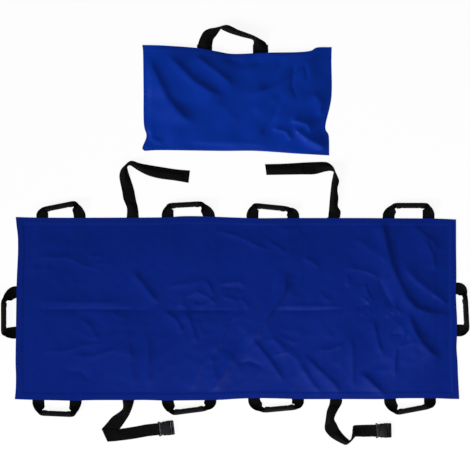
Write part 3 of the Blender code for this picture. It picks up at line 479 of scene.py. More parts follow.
def crumple(x, y, length, seed):
    """Field of sharp crests between soft hollows, as crushed cloth keeps them, from about -1 to 0."""
    bent, broad, softness = 0.25 * length, 2.2 * length, 0.02
    along = x + bent * waves(x, y, broad, 5, seed + 1)
    across = y + bent * waves(x, y, broad, 5, seed + 2)
    return -np.sqrt(waves(along, across, length, 7, seed) ** 2 + softness)


def grid_normals(grid):
    """Unit normals of a grid of points, rows by columns."""
    normal = np.cross(np.gradient(grid, axis=1), np.gradient(grid, axis=0))
    return normal / np.maximum(np.linalg.norm(normal, axis=2, keepdims=True), 1e-12)


def shell(name, grid, uv, thick, material, normal=None, taper=None):
    """Closed cloth or webbing of a thickness about a grid of points, with its UV map in metres."""
    rows, columns = grid.shape[:2]
    normal = grid_normals(grid) if normal is None else normal
    half = thick / 2 * (1 if taper is None else taper[..., None])
    points = np.concatenate([(grid + normal * half).reshape(-1, 3), (grid - normal * half).reshape(-1, 3)])
    index = np.arange(rows * columns).reshape(rows, columns)
    low_left, low_right = index[:-1, :-1].ravel(), index[:-1, 1:].ravel()
    high_left, high_right = index[1:, :-1].ravel(), index[1:, 1:].ravel()
    top = np.stack([low_left, low_right, high_right, high_left], axis=1)
    under = top[:, ::-1] + rows * columns
    rim = np.concatenate([index[0, :], index[1:, -1], index[-1, -2::-1], index[-2:0:-1, 0]])
    after, shift = np.roll(rim, -1), rows * columns
    wall = np.stack([rim + shift, after + shift, after, rim], axis=1)
    mesh = bpy.data.meshes.new(name)
    mesh.from_pydata(points.tolist(), [], np.concatenate([top, under, wall]).tolist())
    corners = np.empty(len(mesh.loops), np.int32)
    mesh.loops.foreach_get("vertex_index", corners)
    mesh.uv_layers.new(name="cloth").data.foreach_set("uv", uv.reshape(-1, 2)[corners % shift].ravel())
    mesh.shade_smooth()
    mesh.set_sharp_from_angle(angle=math.radians(50))
    return placed(name, mesh, material)


def placed(name, mesh, material):
    """A mesh as an object of the scene with its material."""
    made = bpy.data.objects.new(name, mesh)
    bpy.context.scene.collection.objects.link(made)
    mesh.materials.clear()
    mesh.materials.append(material)
    return made


def points_of(node):
    """World places of a node's corners."""
    here = NODES[node].matrix_world
    return np.array([here @ v.co for v in NODES[node].data.vertices])


def out_of(joint):
    """Where a handle or strap bends at the mat's edge, the way along the edge and the way outwards."""
    along = -Vector(JOINTS[joint]["axis"])
    return Vector(JOINTS[joint]["pos_m"]), along, UP.cross(along)


def grip_place(where):
    """Middle of a grip, and how far it turns from the way along the edge."""
    _, along, out = out_of(f"lift_{where}_handle")
    shift, reach, lean = GRIP_PLACES[where]
    grip = points_of(f"grip_{where}")
    middle = Vector((grip.min(axis=0) + grip.max(axis=0)) / 2) + (along * shift + out * reach) / 1000
    return middle, math.atan(lean)


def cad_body(node):
    """Body that a node of the frame moves with."""
    return body_of(NODES[node])[0]


def place(tree, kind, inputs=None, **settings):
    """Adds a node; each input is a value to set or a socket to link from."""
    made = tree.nodes.new(kind)
    for key, value in settings.items():
        setattr(made, key, value)
    for key, value in (inputs or {}).items():
        if isinstance(value, bpy.types.NodeSocket):
            tree.links.new(value, made.inputs[key])
        else:
            made.inputs[key].default_value = value
    return made


def calc(tree, operation, *values):
    """Result of a Math node on values or sockets."""
    return place(tree, "ShaderNodeMath", dict(enumerate(values)), operation=operation).outputs[0]


def new_group(name, kind, inputs, outputs):
    """Empty node group with named sockets, and its input and output nodes."""
    tree = bpy.data.node_groups.new(name, kind)
    for label, socket, value in inputs:
        made = tree.interface.new_socket(label, in_out="INPUT", socket_type=socket)
        if value is not None:
            made.default_value = value
    for label, socket in outputs:
        tree.interface.new_socket(label, in_out="OUTPUT", socket_type=socket)
    return tree, place(tree, "NodeGroupInput").outputs, place(tree, "NodeGroupOutput").inputs


def group(name, build):
    """A shared node group, built the first time that a material asks for it."""
    return bpy.data.node_groups.get(name) or build()


def weave_group():
    """Plain weave under a thin coating, as height, and as a faint change of tone: random slubs with a little
    painted shade in the weave's hollows.
    """
    tree, given, result = new_group(
        "Plain Weave", "ShaderNodeTree",
        [("Vector", "NodeSocketVector", None), ("Threads per metre", "NodeSocketFloat", 900.0)],
        [("Height", "NodeSocketFloat"), ("Shade", "NodeSocketFloat")])
    scaled = place(tree, "ShaderNodeVectorMath", {0: given["Vector"], "Scale": given["Threads per metre"]},
                   operation="SCALE").outputs[0]
    split = place(tree, "ShaderNodeSeparateXYZ", {0: scaled}).outputs
    warp = calc(tree, "SINE", calc(tree, "MULTIPLY", split["X"], math.pi))
    weft = calc(tree, "SINE", calc(tree, "MULTIPLY", split["Y"], math.pi))
    height = calc(tree, "MULTIPLY", warp, weft)
    slub = place(tree, "ShaderNodeTexNoise", {"Vector": given["Vector"], "Scale": 260.0, "Detail": 2.0})
    tree.links.new(height, result["Height"])
    # Painted shade: the Shade output is a little darker in the weave's hollows and lighter on its crossings,
    # over random slubs
    tree.links.new(calc(tree, "MULTIPLY_ADD", height, 0.15, slub.outputs[0]), result["Shade"])
    return tree


def wear_group():
    """Broad uneven patches, as left by folding and handling, from 0 to 1."""
    tree, given, result = new_group(
        "Handling Patches", "ShaderNodeTree",
        [("Vector", "NodeSocketVector", None), ("Patch size", "NodeSocketFloat", 0.2)],
        [("Mask", "NodeSocketFloat")])
    scale = calc(tree, "DIVIDE", 1.0, given["Patch size"])
    noise = place(tree, "ShaderNodeTexNoise", {"Vector": given["Vector"], "Scale": scale, "Detail": 4.0,
                                               "Roughness": 0.6})
    ramp = place(tree, "ShaderNodeMapRange", {"Value": noise.outputs[0], "From Min": 0.3, "From Max": 0.7})
    tree.links.new(ramp.outputs[0], result["Mask"])
    return tree


def ribs_group():
    """Herringbone of a webbing, as height, and a tone of random fuzz with painted shade, darker between its
    threads and lighter on its ribs.
    """
    tree, given, result = new_group(
        "Webbing Ribs", "ShaderNodeTree",
        [("Vector", "NodeSocketVector", None), ("Rib spacing", "NodeSocketFloat", 0.0021),
         ("Herringbone", "NodeSocketFloat", 0.0062)],
        [("Height", "NodeSocketFloat"), ("Shade", "NodeSocketFloat")])
    split = place(tree, "ShaderNodeSeparateXYZ", {0: given["Vector"]}).outputs
    folded = calc(tree, "PINGPONG", split["X"], given["Herringbone"])
    phase = calc(tree, "DIVIDE", calc(tree, "ADD", split["Y"], folded), given["Rib spacing"])
    rib = calc(tree, "SINE", calc(tree, "MULTIPLY", phase, 2 * math.pi))
    warp = calc(tree, "SINE", calc(tree, "MULTIPLY", calc(tree, "DIVIDE", split["X"], given["Herringbone"]),
                                   8 * math.pi))
    height = calc(tree, "MULTIPLY_ADD", warp, 0.35, rib)
    fuzz = place(tree, "ShaderNodeTexNoise", {"Vector": given["Vector"], "Scale": 900.0, "Detail": 2.0})
    tree.links.new(height, result["Height"])
    # Painted shade: the Shade output turns darker in the grooves and lighter on the ribs with their height,
    # over random fuzz
    tree.links.new(calc(tree, "MULTIPLY_ADD", height, 0.2, fuzz.outputs[0]), result["Shade"])
    return tree


def grain_group():
    """Fine grain of moulded rubber or plastic."""
    tree, given, result = new_group(
        "Moulded Grain", "ShaderNodeTree",
        [("Vector", "NodeSocketVector", None), ("Grains per metre", "NodeSocketFloat", 1200.0)],
        [("Height", "NodeSocketFloat")])
    noise = place(tree, "ShaderNodeTexNoise", {"Vector": given["Vector"], "Scale": given["Grains per metre"],
                                               "Detail": 3.0})
    tree.links.new(noise.outputs[0], result["Height"])
    return tree


def surface(name, roughness, specular):
    """New material, its tree and its shader's inputs; its even values sit on the shader's own sockets."""
    made = bpy.data.materials.new(name)
    made.use_nodes = True
    shader = made.node_tree.nodes["Principled BSDF"]
    shader.inputs["Roughness"].default_value = roughness
    shader.inputs["Specular IOR Level"].default_value = specular
    return made, made.node_tree, shader.inputs


def effect(tree, name, build, at, sizes=None):
    """Outputs of a shared effect, placed in a material at the given places."""
    inputs = {"Vector": at, **(sizes or {})}
    return place(tree, "ShaderNodeGroup", inputs, node_tree=group(name, build)).outputs


def shaded(tree, mask, shade, dark, light):
    """Colour that goes from a darker to a lighter share of itself over a mask."""
    darker, lighter = [c * dark for c in shade], [c * light for c in shade]
    return place(tree, "ShaderNodeMix", {"Factor": mask, 6: (*darker, 1), 7: (*lighter, 1)},
                 data_type="RGBA").outputs[2]


def bump(tree, height, depth, strength):
    """Normal of a fine height, whose full rise is the depth in metres."""
    inputs = {"Height": height, "Distance": depth, "Strength": strength}
    return place(tree, "ShaderNodeBump", inputs).outputs[0]


def coated_cloth(name, shade, patch, roughness, lift):
    """Coated woven cloth: deep colour, low satin, a fine weave and broad patches of unlike gloss."""
    made, tree, shader = surface(name, roughness, specular=0.07)
    uv = place(tree, "ShaderNodeUVMap", uv_map="cloth").outputs[0]
    weave = effect(tree, "Plain Weave", weave_group, uv)
    wear = effect(tree, "Handling Patches", wear_group, uv, {"Patch size": patch})
    # The colour mixes random patches and slubs with a faint painted shade from the weave's height
    mask = calc(tree, "MULTIPLY_ADD", weave["Shade"], 0.35, calc(tree, "MULTIPLY", wear[0], 0.5))
    tree.links.new(shaded(tree, mask, shade, 1 - lift, 1 + lift), shader["Base Color"])
    tree.links.new(calc(tree, "MULTIPLY_ADD", wear[0], 0.10, roughness - 0.05), shader["Roughness"])
    tree.links.new(bump(tree, weave["Height"], depth=0.00006, strength=0.6), shader["Normal"])
    return made


def woven_tape(name, shade):
    """Black webbing: rough, with a herringbone that has painted light on its ribs and painted shade between
    them in its colour.
    """
    made, tree, shader = surface(name, roughness=0.72, specular=0.04)
    uv = place(tree, "ShaderNodeUVMap", uv_map="cloth").outputs[0]
    ribs = effect(tree, "Webbing Ribs", ribs_group, uv)
    # The colour carries painted light on the ribs and painted shade in the grooves, from the ribs' Shade
    # output
    mask = calc(tree, "MULTIPLY_ADD", ribs["Shade"], 0.6, 0.2)
    tree.links.new(shaded(tree, mask, shade, dark=0.6, light=1.6), shader["Base Color"])
    tree.links.new(bump(tree, ribs["Height"], depth=0.00016, strength=0.8), shader["Normal"])
    return made


def moulded(name, shade, roughness, specular):
    """Moulded rubber or plastic with a fine grain and handled, slightly polished patches."""
    made, tree, shader = surface(name, roughness, specular)
    at = place(tree, "ShaderNodeTexCoord").outputs["Object"]
    grain = effect(tree, "Moulded Grain", grain_group, at)
    wear = effect(tree, "Handling Patches", wear_group, at, {"Patch size": 0.02})
    tree.links.new(shaded(tree, wear[0], shade, dark=0.85, light=1.2), shader["Base Color"])
    tree.links.new(calc(tree, "MULTIPLY_ADD", wear[0], 0.12, roughness - 0.06), shader["Roughness"])
    tree.links.new(bump(tree, grain["Height"], depth=0.00005, strength=0.5), shader["Normal"])
    return made


def thread(name, shade):
    """Sewing thread."""
    made, tree, shader = surface(name, roughness=0.6, specular=0.3)
    at = place(tree, "ShaderNodeTexCoord").outputs["Object"]
    noise = place(tree, "ShaderNodeTexNoise", {"Vector": at, "Scale": 700.0})
    tree.links.new(shaded(tree, noise.outputs[0], shade, dark=0.7, light=1.3), shader["Base Color"])
    return made


def shared_material(name, build, shade, **values):
    """A material by name, made the first time that it is asked for."""
    return bpy.data.materials.get(name) or build(name, shade, **values)


def webbing_material(context):
    """The one material of all webbing."""
    return shared_material("woven_webbing", woven_tape, context.scene.stretcher_webbing.colour)


def smooth(points, step):
    """Points about a step apart on a smooth line through the given ones; each may hold several places."""
    points = np.asarray(points, float)
    spans = np.linalg.norm(np.diff(points, axis=0), axis=1)
    counts = np.maximum(1, np.round(spans / step)).astype(int)
    at = np.concatenate([i + np.arange(count) / count for i, count in enumerate(counts)])
    at = np.append(at, len(points) - 1 - 1e-9)
    ends = np.concatenate([2 * points[:1] - points[1:2], points, 2 * points[-1:] - points[-2:-1]])
    whole, t = at.astype(int), (at % 1)[:, None]
    a, b, c, d = (ends[whole + k] for k in range(4))
    cubic = (2 * a - 5 * b + 4 * c - d) * t ** 2 + (3 * b - a - 3 * c + d) * t ** 3
    return 0.5 * (2 * b + (c - a) * t + cubic)


def across_tape(columns=TAPE_COLUMNS):
    """Places across a tape from -1 to 1, close together at its rounded edges, and the thickness there."""
    inner = np.linspace(-0.95, 0.95, columns)
    places = np.concatenate([[-1, -0.985], inner, [0.985, 1]])
    taper = np.ones(len(places))
    taper[[0, -1]], taper[[1, -2]] = 0.3, 0.8
    return places, taper


def pinched(edges, level, width):
    """Grid of a tape between its two edges; where they draw together it stands up like a tent."""
    least, soft = 0.12, 0.12
    places, _ = across_tape()
    one = np.column_stack([edges[:, 0], edges[:, 1], level])
    other = np.column_stack([edges[:, 2], edges[:, 3], level])
    seen = np.linalg.norm(other - one, axis=1) / width
    rise = np.sqrt(1 - np.clip(seen, least, 1) ** 2)[:, None]
    tent = (math.sqrt(1 + soft ** 2) - np.sqrt(places ** 2 + soft ** 2))[None, :] * width / 2 * rise
    grid = (one + other)[:, None] / 2 + (other - one)[:, None] / 2 * places[None, :, None]
    grid[..., 2] += tent
    return grid


def tape(name, grid, thick, width, material, columns=TAPE_COLUMNS):
    """Webbing along a grid, its UV map as it lay flat on the roll."""
    places, taper = across_tape(columns)
    run = np.linalg.norm(np.diff(grid, axis=0), axis=2)
    along = np.concatenate([np.zeros((1, len(places))), np.cumsum(run, axis=0)])
    uv = np.stack([np.broadcast_to(places * width / 2, along.shape), along], axis=2)
    return shell(name, grid, uv, thick, material, taper=np.broadcast_to(taper, along.shape))


def folded_section(width, thick, outer_turn, inner_turn):
    """Points across a tape whose outer thirds turn up and over the middle: place and lift."""
    places, _ = across_tape(FOLDED_COLUMNS)
    flat = places * width / 2
    third = width / 6
    across, lift = flat.copy(), np.zeros_like(flat)
    for sign, turn, layers in ((1, outer_turn, 1), (-1, inner_turn, 2)):
        turn = max(turn, 1e-4)
        bend = math.pi * layers * thick * TAPE_BEND
        past = sign * flat - third
        bent, straight = np.clip(past, 0, bend), np.maximum(past - bend, 0)
        reach = bend / turn * np.sin(turn * bent / bend) + straight * math.cos(turn)
        rise = bend / turn * (1 - np.cos(turn * bent / bend)) + straight * math.sin(turn)
        flap = past > 0
        across[flap] = sign * (third + reach[flap])
        lift[flap] = rise[flap]
    return across, lift


def fold_turns(t):
    """How far both outer thirds of a handle's webbing have turned, at a share of the way into the grip."""
    outer_start, outer_run, outer_power, inner_start, inner_run = 0.15, 0.83, 1.4, 0.38, 0.58
    outer = math.acos(1 - 2 * np.clip((t - outer_start) / outer_run, 0, 1) ** outer_power)
    return outer, math.pi * ease((t - inner_start) / inner_run)


def run_tree(made, tree, **values):
    """Runs a node tree of shapes on an object and keeps the outcome as its plain mesh."""
    step = made.modifiers.new(tree.name, "NODES")
    step.node_group = tree
    for item in tree.interface.items_tree:
        if item.name in values:
            step[item.identifier] = values[item.name]
    seen = made.evaluated_get(bpy.context.evaluated_depsgraph_get())
    mesh = bpy.data.meshes.new_from_object(seen)
    made.modifiers.clear()
    old, made.data = made.data, mesh
    mesh.name = made.name
    bpy.data.meshes.remove(old)
    return made


def stitch_tree():
    """Short rounded stitches along lines, each lying the way the line runs."""
    tree, given, result = new_group(
        "Stitch Row", "GeometryNodeTree",
        [("Lines", "NodeSocketGeometry", None), ("Pitch", "NodeSocketFloat", 0.005),
         ("Length", "NodeSocketFloat", 0.0036), ("Thread", "NodeSocketFloat", 0.0007),
         ("Material", "NodeSocketMaterial", None)],
        [("Stitches", "NodeSocketGeometry")])
    curve = place(tree, "GeometryNodeMeshToCurve", {"Mesh": given["Lines"]}).outputs[0]
    even = place(tree, "GeometryNodeResampleCurve", {"Curve": curve, "Length": given["Pitch"]},
                 mode="LENGTH").outputs[0]
    bead = place(tree, "GeometryNodeMeshUVSphere", {"Segments": 6, "Rings": 3, "Radius": 0.5}).outputs[0]
    size = place(tree, "ShaderNodeCombineXYZ", {0: given["Length"], 1: given["Thread"],
                                                2: given["Thread"]}).outputs[0]
    way = place(tree, "FunctionNodeAlignRotationToVector",
                {"Vector": place(tree, "GeometryNodeInputTangent").outputs[0]}, axis="X").outputs[0]
    row = place(tree, "GeometryNodeInstanceOnPoints",
                {"Points": even, "Instance": bead, "Rotation": way, "Scale": size}).outputs[0]
    real = place(tree, "GeometryNodeRealizeInstances", {0: row}).outputs[0]
    round_off = place(tree, "GeometryNodeSetShadeSmooth", {0: real}).outputs[0]
    done = place(tree, "GeometryNodeSetMaterial", {"Geometry": round_off, "Material": given["Material"]})
    tree.links.new(done.outputs[0], result["Stitches"])
    return tree


def stitch(name, seams, looks, material):
    """Stitches along a set of seams, each a row of points."""
    mesh = bpy.data.meshes.new(name)
    points, edges = [], []
    for seam in seams:
        edges += [(len(points) + i, len(points) + i + 1) for i in range(len(seam) - 1)]
        points += [tuple(p) for p in seam]
    mesh.from_pydata(points, edges, [])
    made = placed(name, mesh, material)
    return run_tree(made, group("Stitch Row", stitch_tree), Pitch=looks.pitch, Length=looks.length,
                    Thread=looks.thread, Material=material)


def rib_tree():
    """Finger ribs: pushes the side of a grip that faces -Y out in even waves over its middle."""
    tree, given, result = new_group(
        "Finger Ribs", "GeometryNodeTree",
        [("Grip", "NodeSocketGeometry", None), ("Ribbed length", "NodeSocketFloat", 0.066),
         ("Ribs", "NodeSocketInt", 9), ("Height", "NodeSocketFloat", 0.0019),
         ("Material", "NodeSocketMaterial", None)],
        [("Grip", "NodeSocketGeometry")])
    at = place(tree, "ShaderNodeSeparateXYZ",
               {0: place(tree, "GeometryNodeInputPosition").outputs[0]}).outputs
    side = place(tree, "ShaderNodeSeparateXYZ",
                 {0: place(tree, "GeometryNodeInputNormal").outputs[0]}).outputs["Y"]
    turns = calc(tree, "DIVIDE", at["X"], given["Ribbed length"])
    inside = calc(tree, "LESS_THAN", calc(tree, "ABSOLUTE", turns), 0.5)
    phase = calc(tree, "MULTIPLY", calc(tree, "ADD", turns, 0.5), given["Ribs"])
    wave = calc(tree, "SINE", calc(tree, "MULTIPLY", phase, math.pi))
    crest = calc(tree, "POWER", calc(tree, "ABSOLUTE", wave), 0.7)
    facing = place(tree, "ShaderNodeMapRange", {"Value": side, "From Min": -0.25,
                                                "From Max": -0.8}).outputs[0]
    push = calc(tree, "MULTIPLY", calc(tree, "MULTIPLY", crest, inside),
                calc(tree, "MULTIPLY", facing, given["Height"]))
    offset = place(tree, "ShaderNodeCombineXYZ", {1: calc(tree, "MULTIPLY", push, -1.0)}).outputs[0]
    ribbed = place(tree, "GeometryNodeSetPosition", {"Geometry": given["Grip"], "Offset": offset}).outputs[0]
    real = place(tree, "GeometryNodeRealizeInstances", {0: ribbed}).outputs[0]
    done = place(tree, "GeometryNodeSetMaterial", {"Geometry": real, "Material": given["Material"]})
    tree.links.new(done.outputs[0], result["Grip"])
    return tree


def cross_runs():
    """Middle lines of the webbing sewn under the mat: x at the far edge and x at the near edge."""
    found = []
    for name in NODES:
        if "webbing" in name:
            co = points_of(name)
            far, near = co[co[:, 1] > 0], co[co[:, 1] < 0]
            middles = [(side[:, 0].min() + side[:, 0].max()) / 2 for side in (far, near)]
            found.append(middles)
    return found


def edge_distance(x, y, low, high):
    """How far points of the mat lie from its nearest edge."""
    return np.minimum(high.y - np.abs(y), np.minimum(x - low.x, high.x - x))


def held_share(x, y, low, high):
    """How far webbing, tabs and hems hold the cloth up, from 0 to 1."""
    half_web, fade, hem_reach, hem_fade = 0.025, 0.014, 0.035, 0.02
    held = ease((hem_reach - edge_distance(x, y, low, high)) / hem_fade)
    for far_x, near_x in cross_runs():
        middle = (far_x + near_x) / 2 + (far_x - near_x) / 2 * y / high.y
        held = np.maximum(held, ease((half_web + fade - np.abs(x - middle)) / fade))
    for name in NODES:
        if name.startswith("end_tab"):
            tab_low, tab_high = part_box(name)
            off_x = np.maximum(tab_low.x - x, x - tab_high.x)
            off_y = np.maximum(tab_low.y - y, y - tab_high.y)
            held = np.maximum(held, ease((fade - np.maximum(off_x, off_y)) / fade))
    return held


def mat_height(x, y, looks, low, high):
    """Height of the mat's upper face over its rest height, without its hem."""
    hem, hem_fade, rim, rim_fade = 0.008, 0.045, 0.010, 0.20
    far_share, far_edge, far_fade = 0.45, 0.12, 0.3
    fine, least_share = 0.0003, 0.2
    from_edge = edge_distance(x, y, low, high)
    inside, inner = ease((from_edge - hem) / hem_fade), ease((from_edge - rim) / rim_fade)
    # The near half is the more crumpled one
    near_half = far_share + (1 - far_share) * ease((far_edge - y) / far_fade)
    rise = ridges(x, y, MAT_CREASES) * looks.crease_share
    rise += looks.swell * (1 + 0.6 * waves(x, y, length=0.42, count=9, seed=4)) * inner
    for share, length, seed in ((0.60, 0.30, 31), (0.25, 0.14, 57)):
        rise += looks.swell * share * (1 + crumple(x, y, length, seed)) * inner * near_half
    rise += fine * waves(x, y, length=0.055, count=14, seed=11) * inside
    held = held_share(x, y, low, high)
    return np.maximum(rise, -fine) * (least_share + (1 - least_share) * inside) - looks.sag * (1 - held)


def edge_shift(edge, at):
    """Shift of one of the mat's edges at places along it."""
    run = smooth(metres(MAT_EDGES[edge]), 0.01)
    return np.interp(at, run[:, 0], run[:, 1])


def laid_mat(looks):
    """Grid lines of the lying mat, its cuts and folds, its points and its thickness there."""
    low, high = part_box("mat_panel_1")[0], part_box("mat_panel_4")[1]
    folds = [JOINTS[name]["pos_m"][0] for name in FOLDS]
    cuts = [low.x, (folds[0] + folds[1]) / 2, (folds[1] + folds[2]) / 2, high.x]
    hem, turn = looks.hem, looks.hem_turn
    edge_fade, end_power, side_power = 0.1, 8, 6
    kept = [low.x + hem, low.x + hem + turn, high.x - hem, high.x - hem - turn, *cuts]
    for fold in folds:
        kept += list(fold + np.linspace(-looks.bend, looks.bend, 9))
    xs = lines(low.x, high.x, looks.grid, kept)
    side = high.y - hem
    ys = lines(low.y, high.y, looks.grid, [side, side - turn, -side, turn - side])
    x, y = np.meshgrid(xs, ys)
    from_edge = edge_distance(x, y, low, high)
    doubled = ease((hem + turn - from_edge) / turn)
    z = mat_height(x, y, looks, low, high) - looks.cloth_thick / 2 + looks.cloth_thick * doubled
    near_edge = ease((edge_fade - from_edge) / edge_fade)
    waver = looks.waver * waves(x, y, length=0.35, count=5, seed=21) * near_edge
    ends = np.where(x < 0, edge_shift("left", y), edge_shift("right", y)) * np.abs(x / high.x) ** end_power
    sides = np.where(y > 0, edge_shift("far", x), edge_shift("near", x)) * np.abs(y / high.y) ** side_power
    grid = np.stack([x + waver + ends, y + waver + sides, z], axis=2)
    return xs, ys, cuts, folds, grid, looks.cloth_thick * (1 + doubled)


class STRETCHER_OT_lay_mat(Operator):
    """Lays the creased cloth of the mat, in three sheets that bend at the folds"""

    bl_idname = "stretcher.lay_mat"
    bl_label = "Lay the Mat"

    def execute(self, context):
        looks = context.scene.stretcher_mat
        xs, ys, cuts, folds, grid, thick = laid_mat(looks)
        normal = grid_normals(grid)
        cloth = shared_material("mat_coated_cloth", coated_cloth, looks.colour, patch=0.25, roughness=0.42,
                                lift=0.10)
        uv = np.stack(np.meshgrid(xs, ys), axis=2)
        for i, name in enumerate(SHEETS):
            part = (xs >= cuts[i] - 1e-6) & (xs <= cuts[i + 1] + 1e-6)
            made = shell(f"mat_cloth_{name}", grid[:, part], uv[:, part], 1.0, cloth, normal[:, part],
                         thick[:, part])
            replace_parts(made, f"mat_panel_{i + 1}", f"mat_panel_{i + 2}")
            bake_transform(made, f"mat_{i + 1}", f"mat_{i + 2}", start=(folds[i] - looks.bend, 0, 0),
                     end=(folds[i] + looks.bend, 0, 0))
        return {"FINISHED"}


class STRETCHER_OT_sew_webbing(Operator):
    """Lays the webbing that is sewn under the mat"""

    bl_idname = "stretcher.sew_webbing"
    bl_label = "Sew the Webbing"

    def execute(self, context):
        for node in NODES:
            if node.startswith(("cross_webbing", "strap_webbing", "end_tab", "bag_handle_tab")):
                made = self.sewn_tape(node, context.scene.stretcher_webbing, webbing_material(context))
                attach(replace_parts(made, node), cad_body(node))
        return {"FINISHED"}

    def sewn_tape(self, node, looks, woven):
        """Tape in the place of a flat run of webbing in the frame."""
        points = points_of(node)
        low, high = points.min(axis=0), points.max(axis=0)
        upright = high[1] - low[1] > high[0] - low[0] or node.startswith("bag")
        axis, thick = (1 if upright else 0), high[2] - low[2]
        width = looks.width if "webbing" in node else high[1 - axis] - low[1 - axis]
        ends = []
        for end in (low[axis], high[axis]):
            near = points[np.abs(points[:, axis] - end) < 0.001]
            ends.append((near.min(axis=0) + near.max(axis=0)) / 2)
        rows = max(2, round(np.linalg.norm(ends[1] - ends[0]) / 0.04))
        along = np.linspace(0, 1, rows)[:, None]
        middle = ends[0] * (1 - along) + ends[1] * along
        places, _ = across_tape()
        half = np.array([width / 2, 0, 0]) if upright else np.array([0, -width / 2, 0])
        return tape(node + "_tape", middle[:, None] + places[None, :, None] * half, thick, width, woven)


class STRETCHER_OT_thread_handles(Operator):
    """Makes the ten carry handles, whose webbing folds in three on its way into the grip"""

    bl_idname = "stretcher.thread_handles"
    bl_label = "Thread the Handles"

    def execute(self, context):
        looks = context.scene.stretcher_webbing
        for where in HANDLES:
            joint = JOINTS[f"lift_{where}_handle"]
            root, along, out = out_of(joint["name"])
            grid = self.handle_grid(where, root, along, out, looks)
            made = tape(f"handle_{where}_tape", grid, looks.thick, looks.width, webbing_material(context),
                        FOLDED_COLUMNS)
            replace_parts(made, f"handle_{where}")
            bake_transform(made, joint["parent"], f"{where}_handle", start=root, end=root + out * looks.bend)
        return {"FINISHED"}

    def handle_grid(self, where, root, along, out, looks):
        """Grid of a handle's webbing from one leg through the grip to the other."""
        middle, turn = grip_place(where)
        held = Vector(((middle - root) @ along, (middle - root) @ out))
        lying = Vector((math.cos(turn), math.sin(turn)))
        half_grip = bpy.context.scene.stretcher_grip.length / 2
        spread = (points_of(f"handle_{where}") - np.array(root)) @ np.array(along)
        half_span = (spread.max() - spread.min() - looks.width) / 2
        low, high = -looks.thick / 2, middle.z - root.z - 1.2 * looks.thick
        legs = [self.leg(sign, half_span, held + lying * sign * half_grip, -sign * lying)
                for sign in (-1, 1)]
        (start, _, _), (stop, _, _) = legs[0][-1], legs[1][-1]
        held_rows = [(start.lerp(stop, part), (stop - start).normalized(), 1.0)
                     for part in np.linspace(0, 1, 6)[1:-1]]
        grid = []
        for spot, way, t in legs[0] + held_rows + legs[1][::-1]:
            across, lift = folded_section(looks.width, looks.thick, *fold_turns(t))
            middle = np.array(root + along * spot.x + out * spot.y + UP * (low + (high - low) * ease(t)))
            side = np.array(out * way.x - along * way.y)
            grid.append(middle + across[:, None] * side + lift[:, None] * np.array(UP))
        return np.array(grid)[:, ::-1]

    def leg(self, sign, half_span, end, way):
        """Stations of a leg from the mat's edge into the grip: place, heading and share of the way."""
        straight, lead_in, steps = 0.022, 0.016, 34
        points = [Vector((sign * half_span, -0.001)), Vector((sign * half_span, straight)),
                  end - way * lead_in, end]
        stations = []
        for i in range(steps + 1):
            t = i / steps
            weights = [(1 - t) ** 3, 3 * t * (1 - t) ** 2, 3 * t * t * (1 - t), t ** 3]
            slopes = [-3 * (1 - t) ** 2, 3 * (1 - t) * (1 - 3 * t), 3 * t * (2 - 3 * t), 3 * t * t]
            spot = sum((p * w for p, w in zip(points, weights)), Vector((0, 0)))
            heading = sum((p * w for p, w in zip(points, slopes)), Vector((0, 0))).normalized()
            stations.append((spot, -sign * heading, t))
        return stations


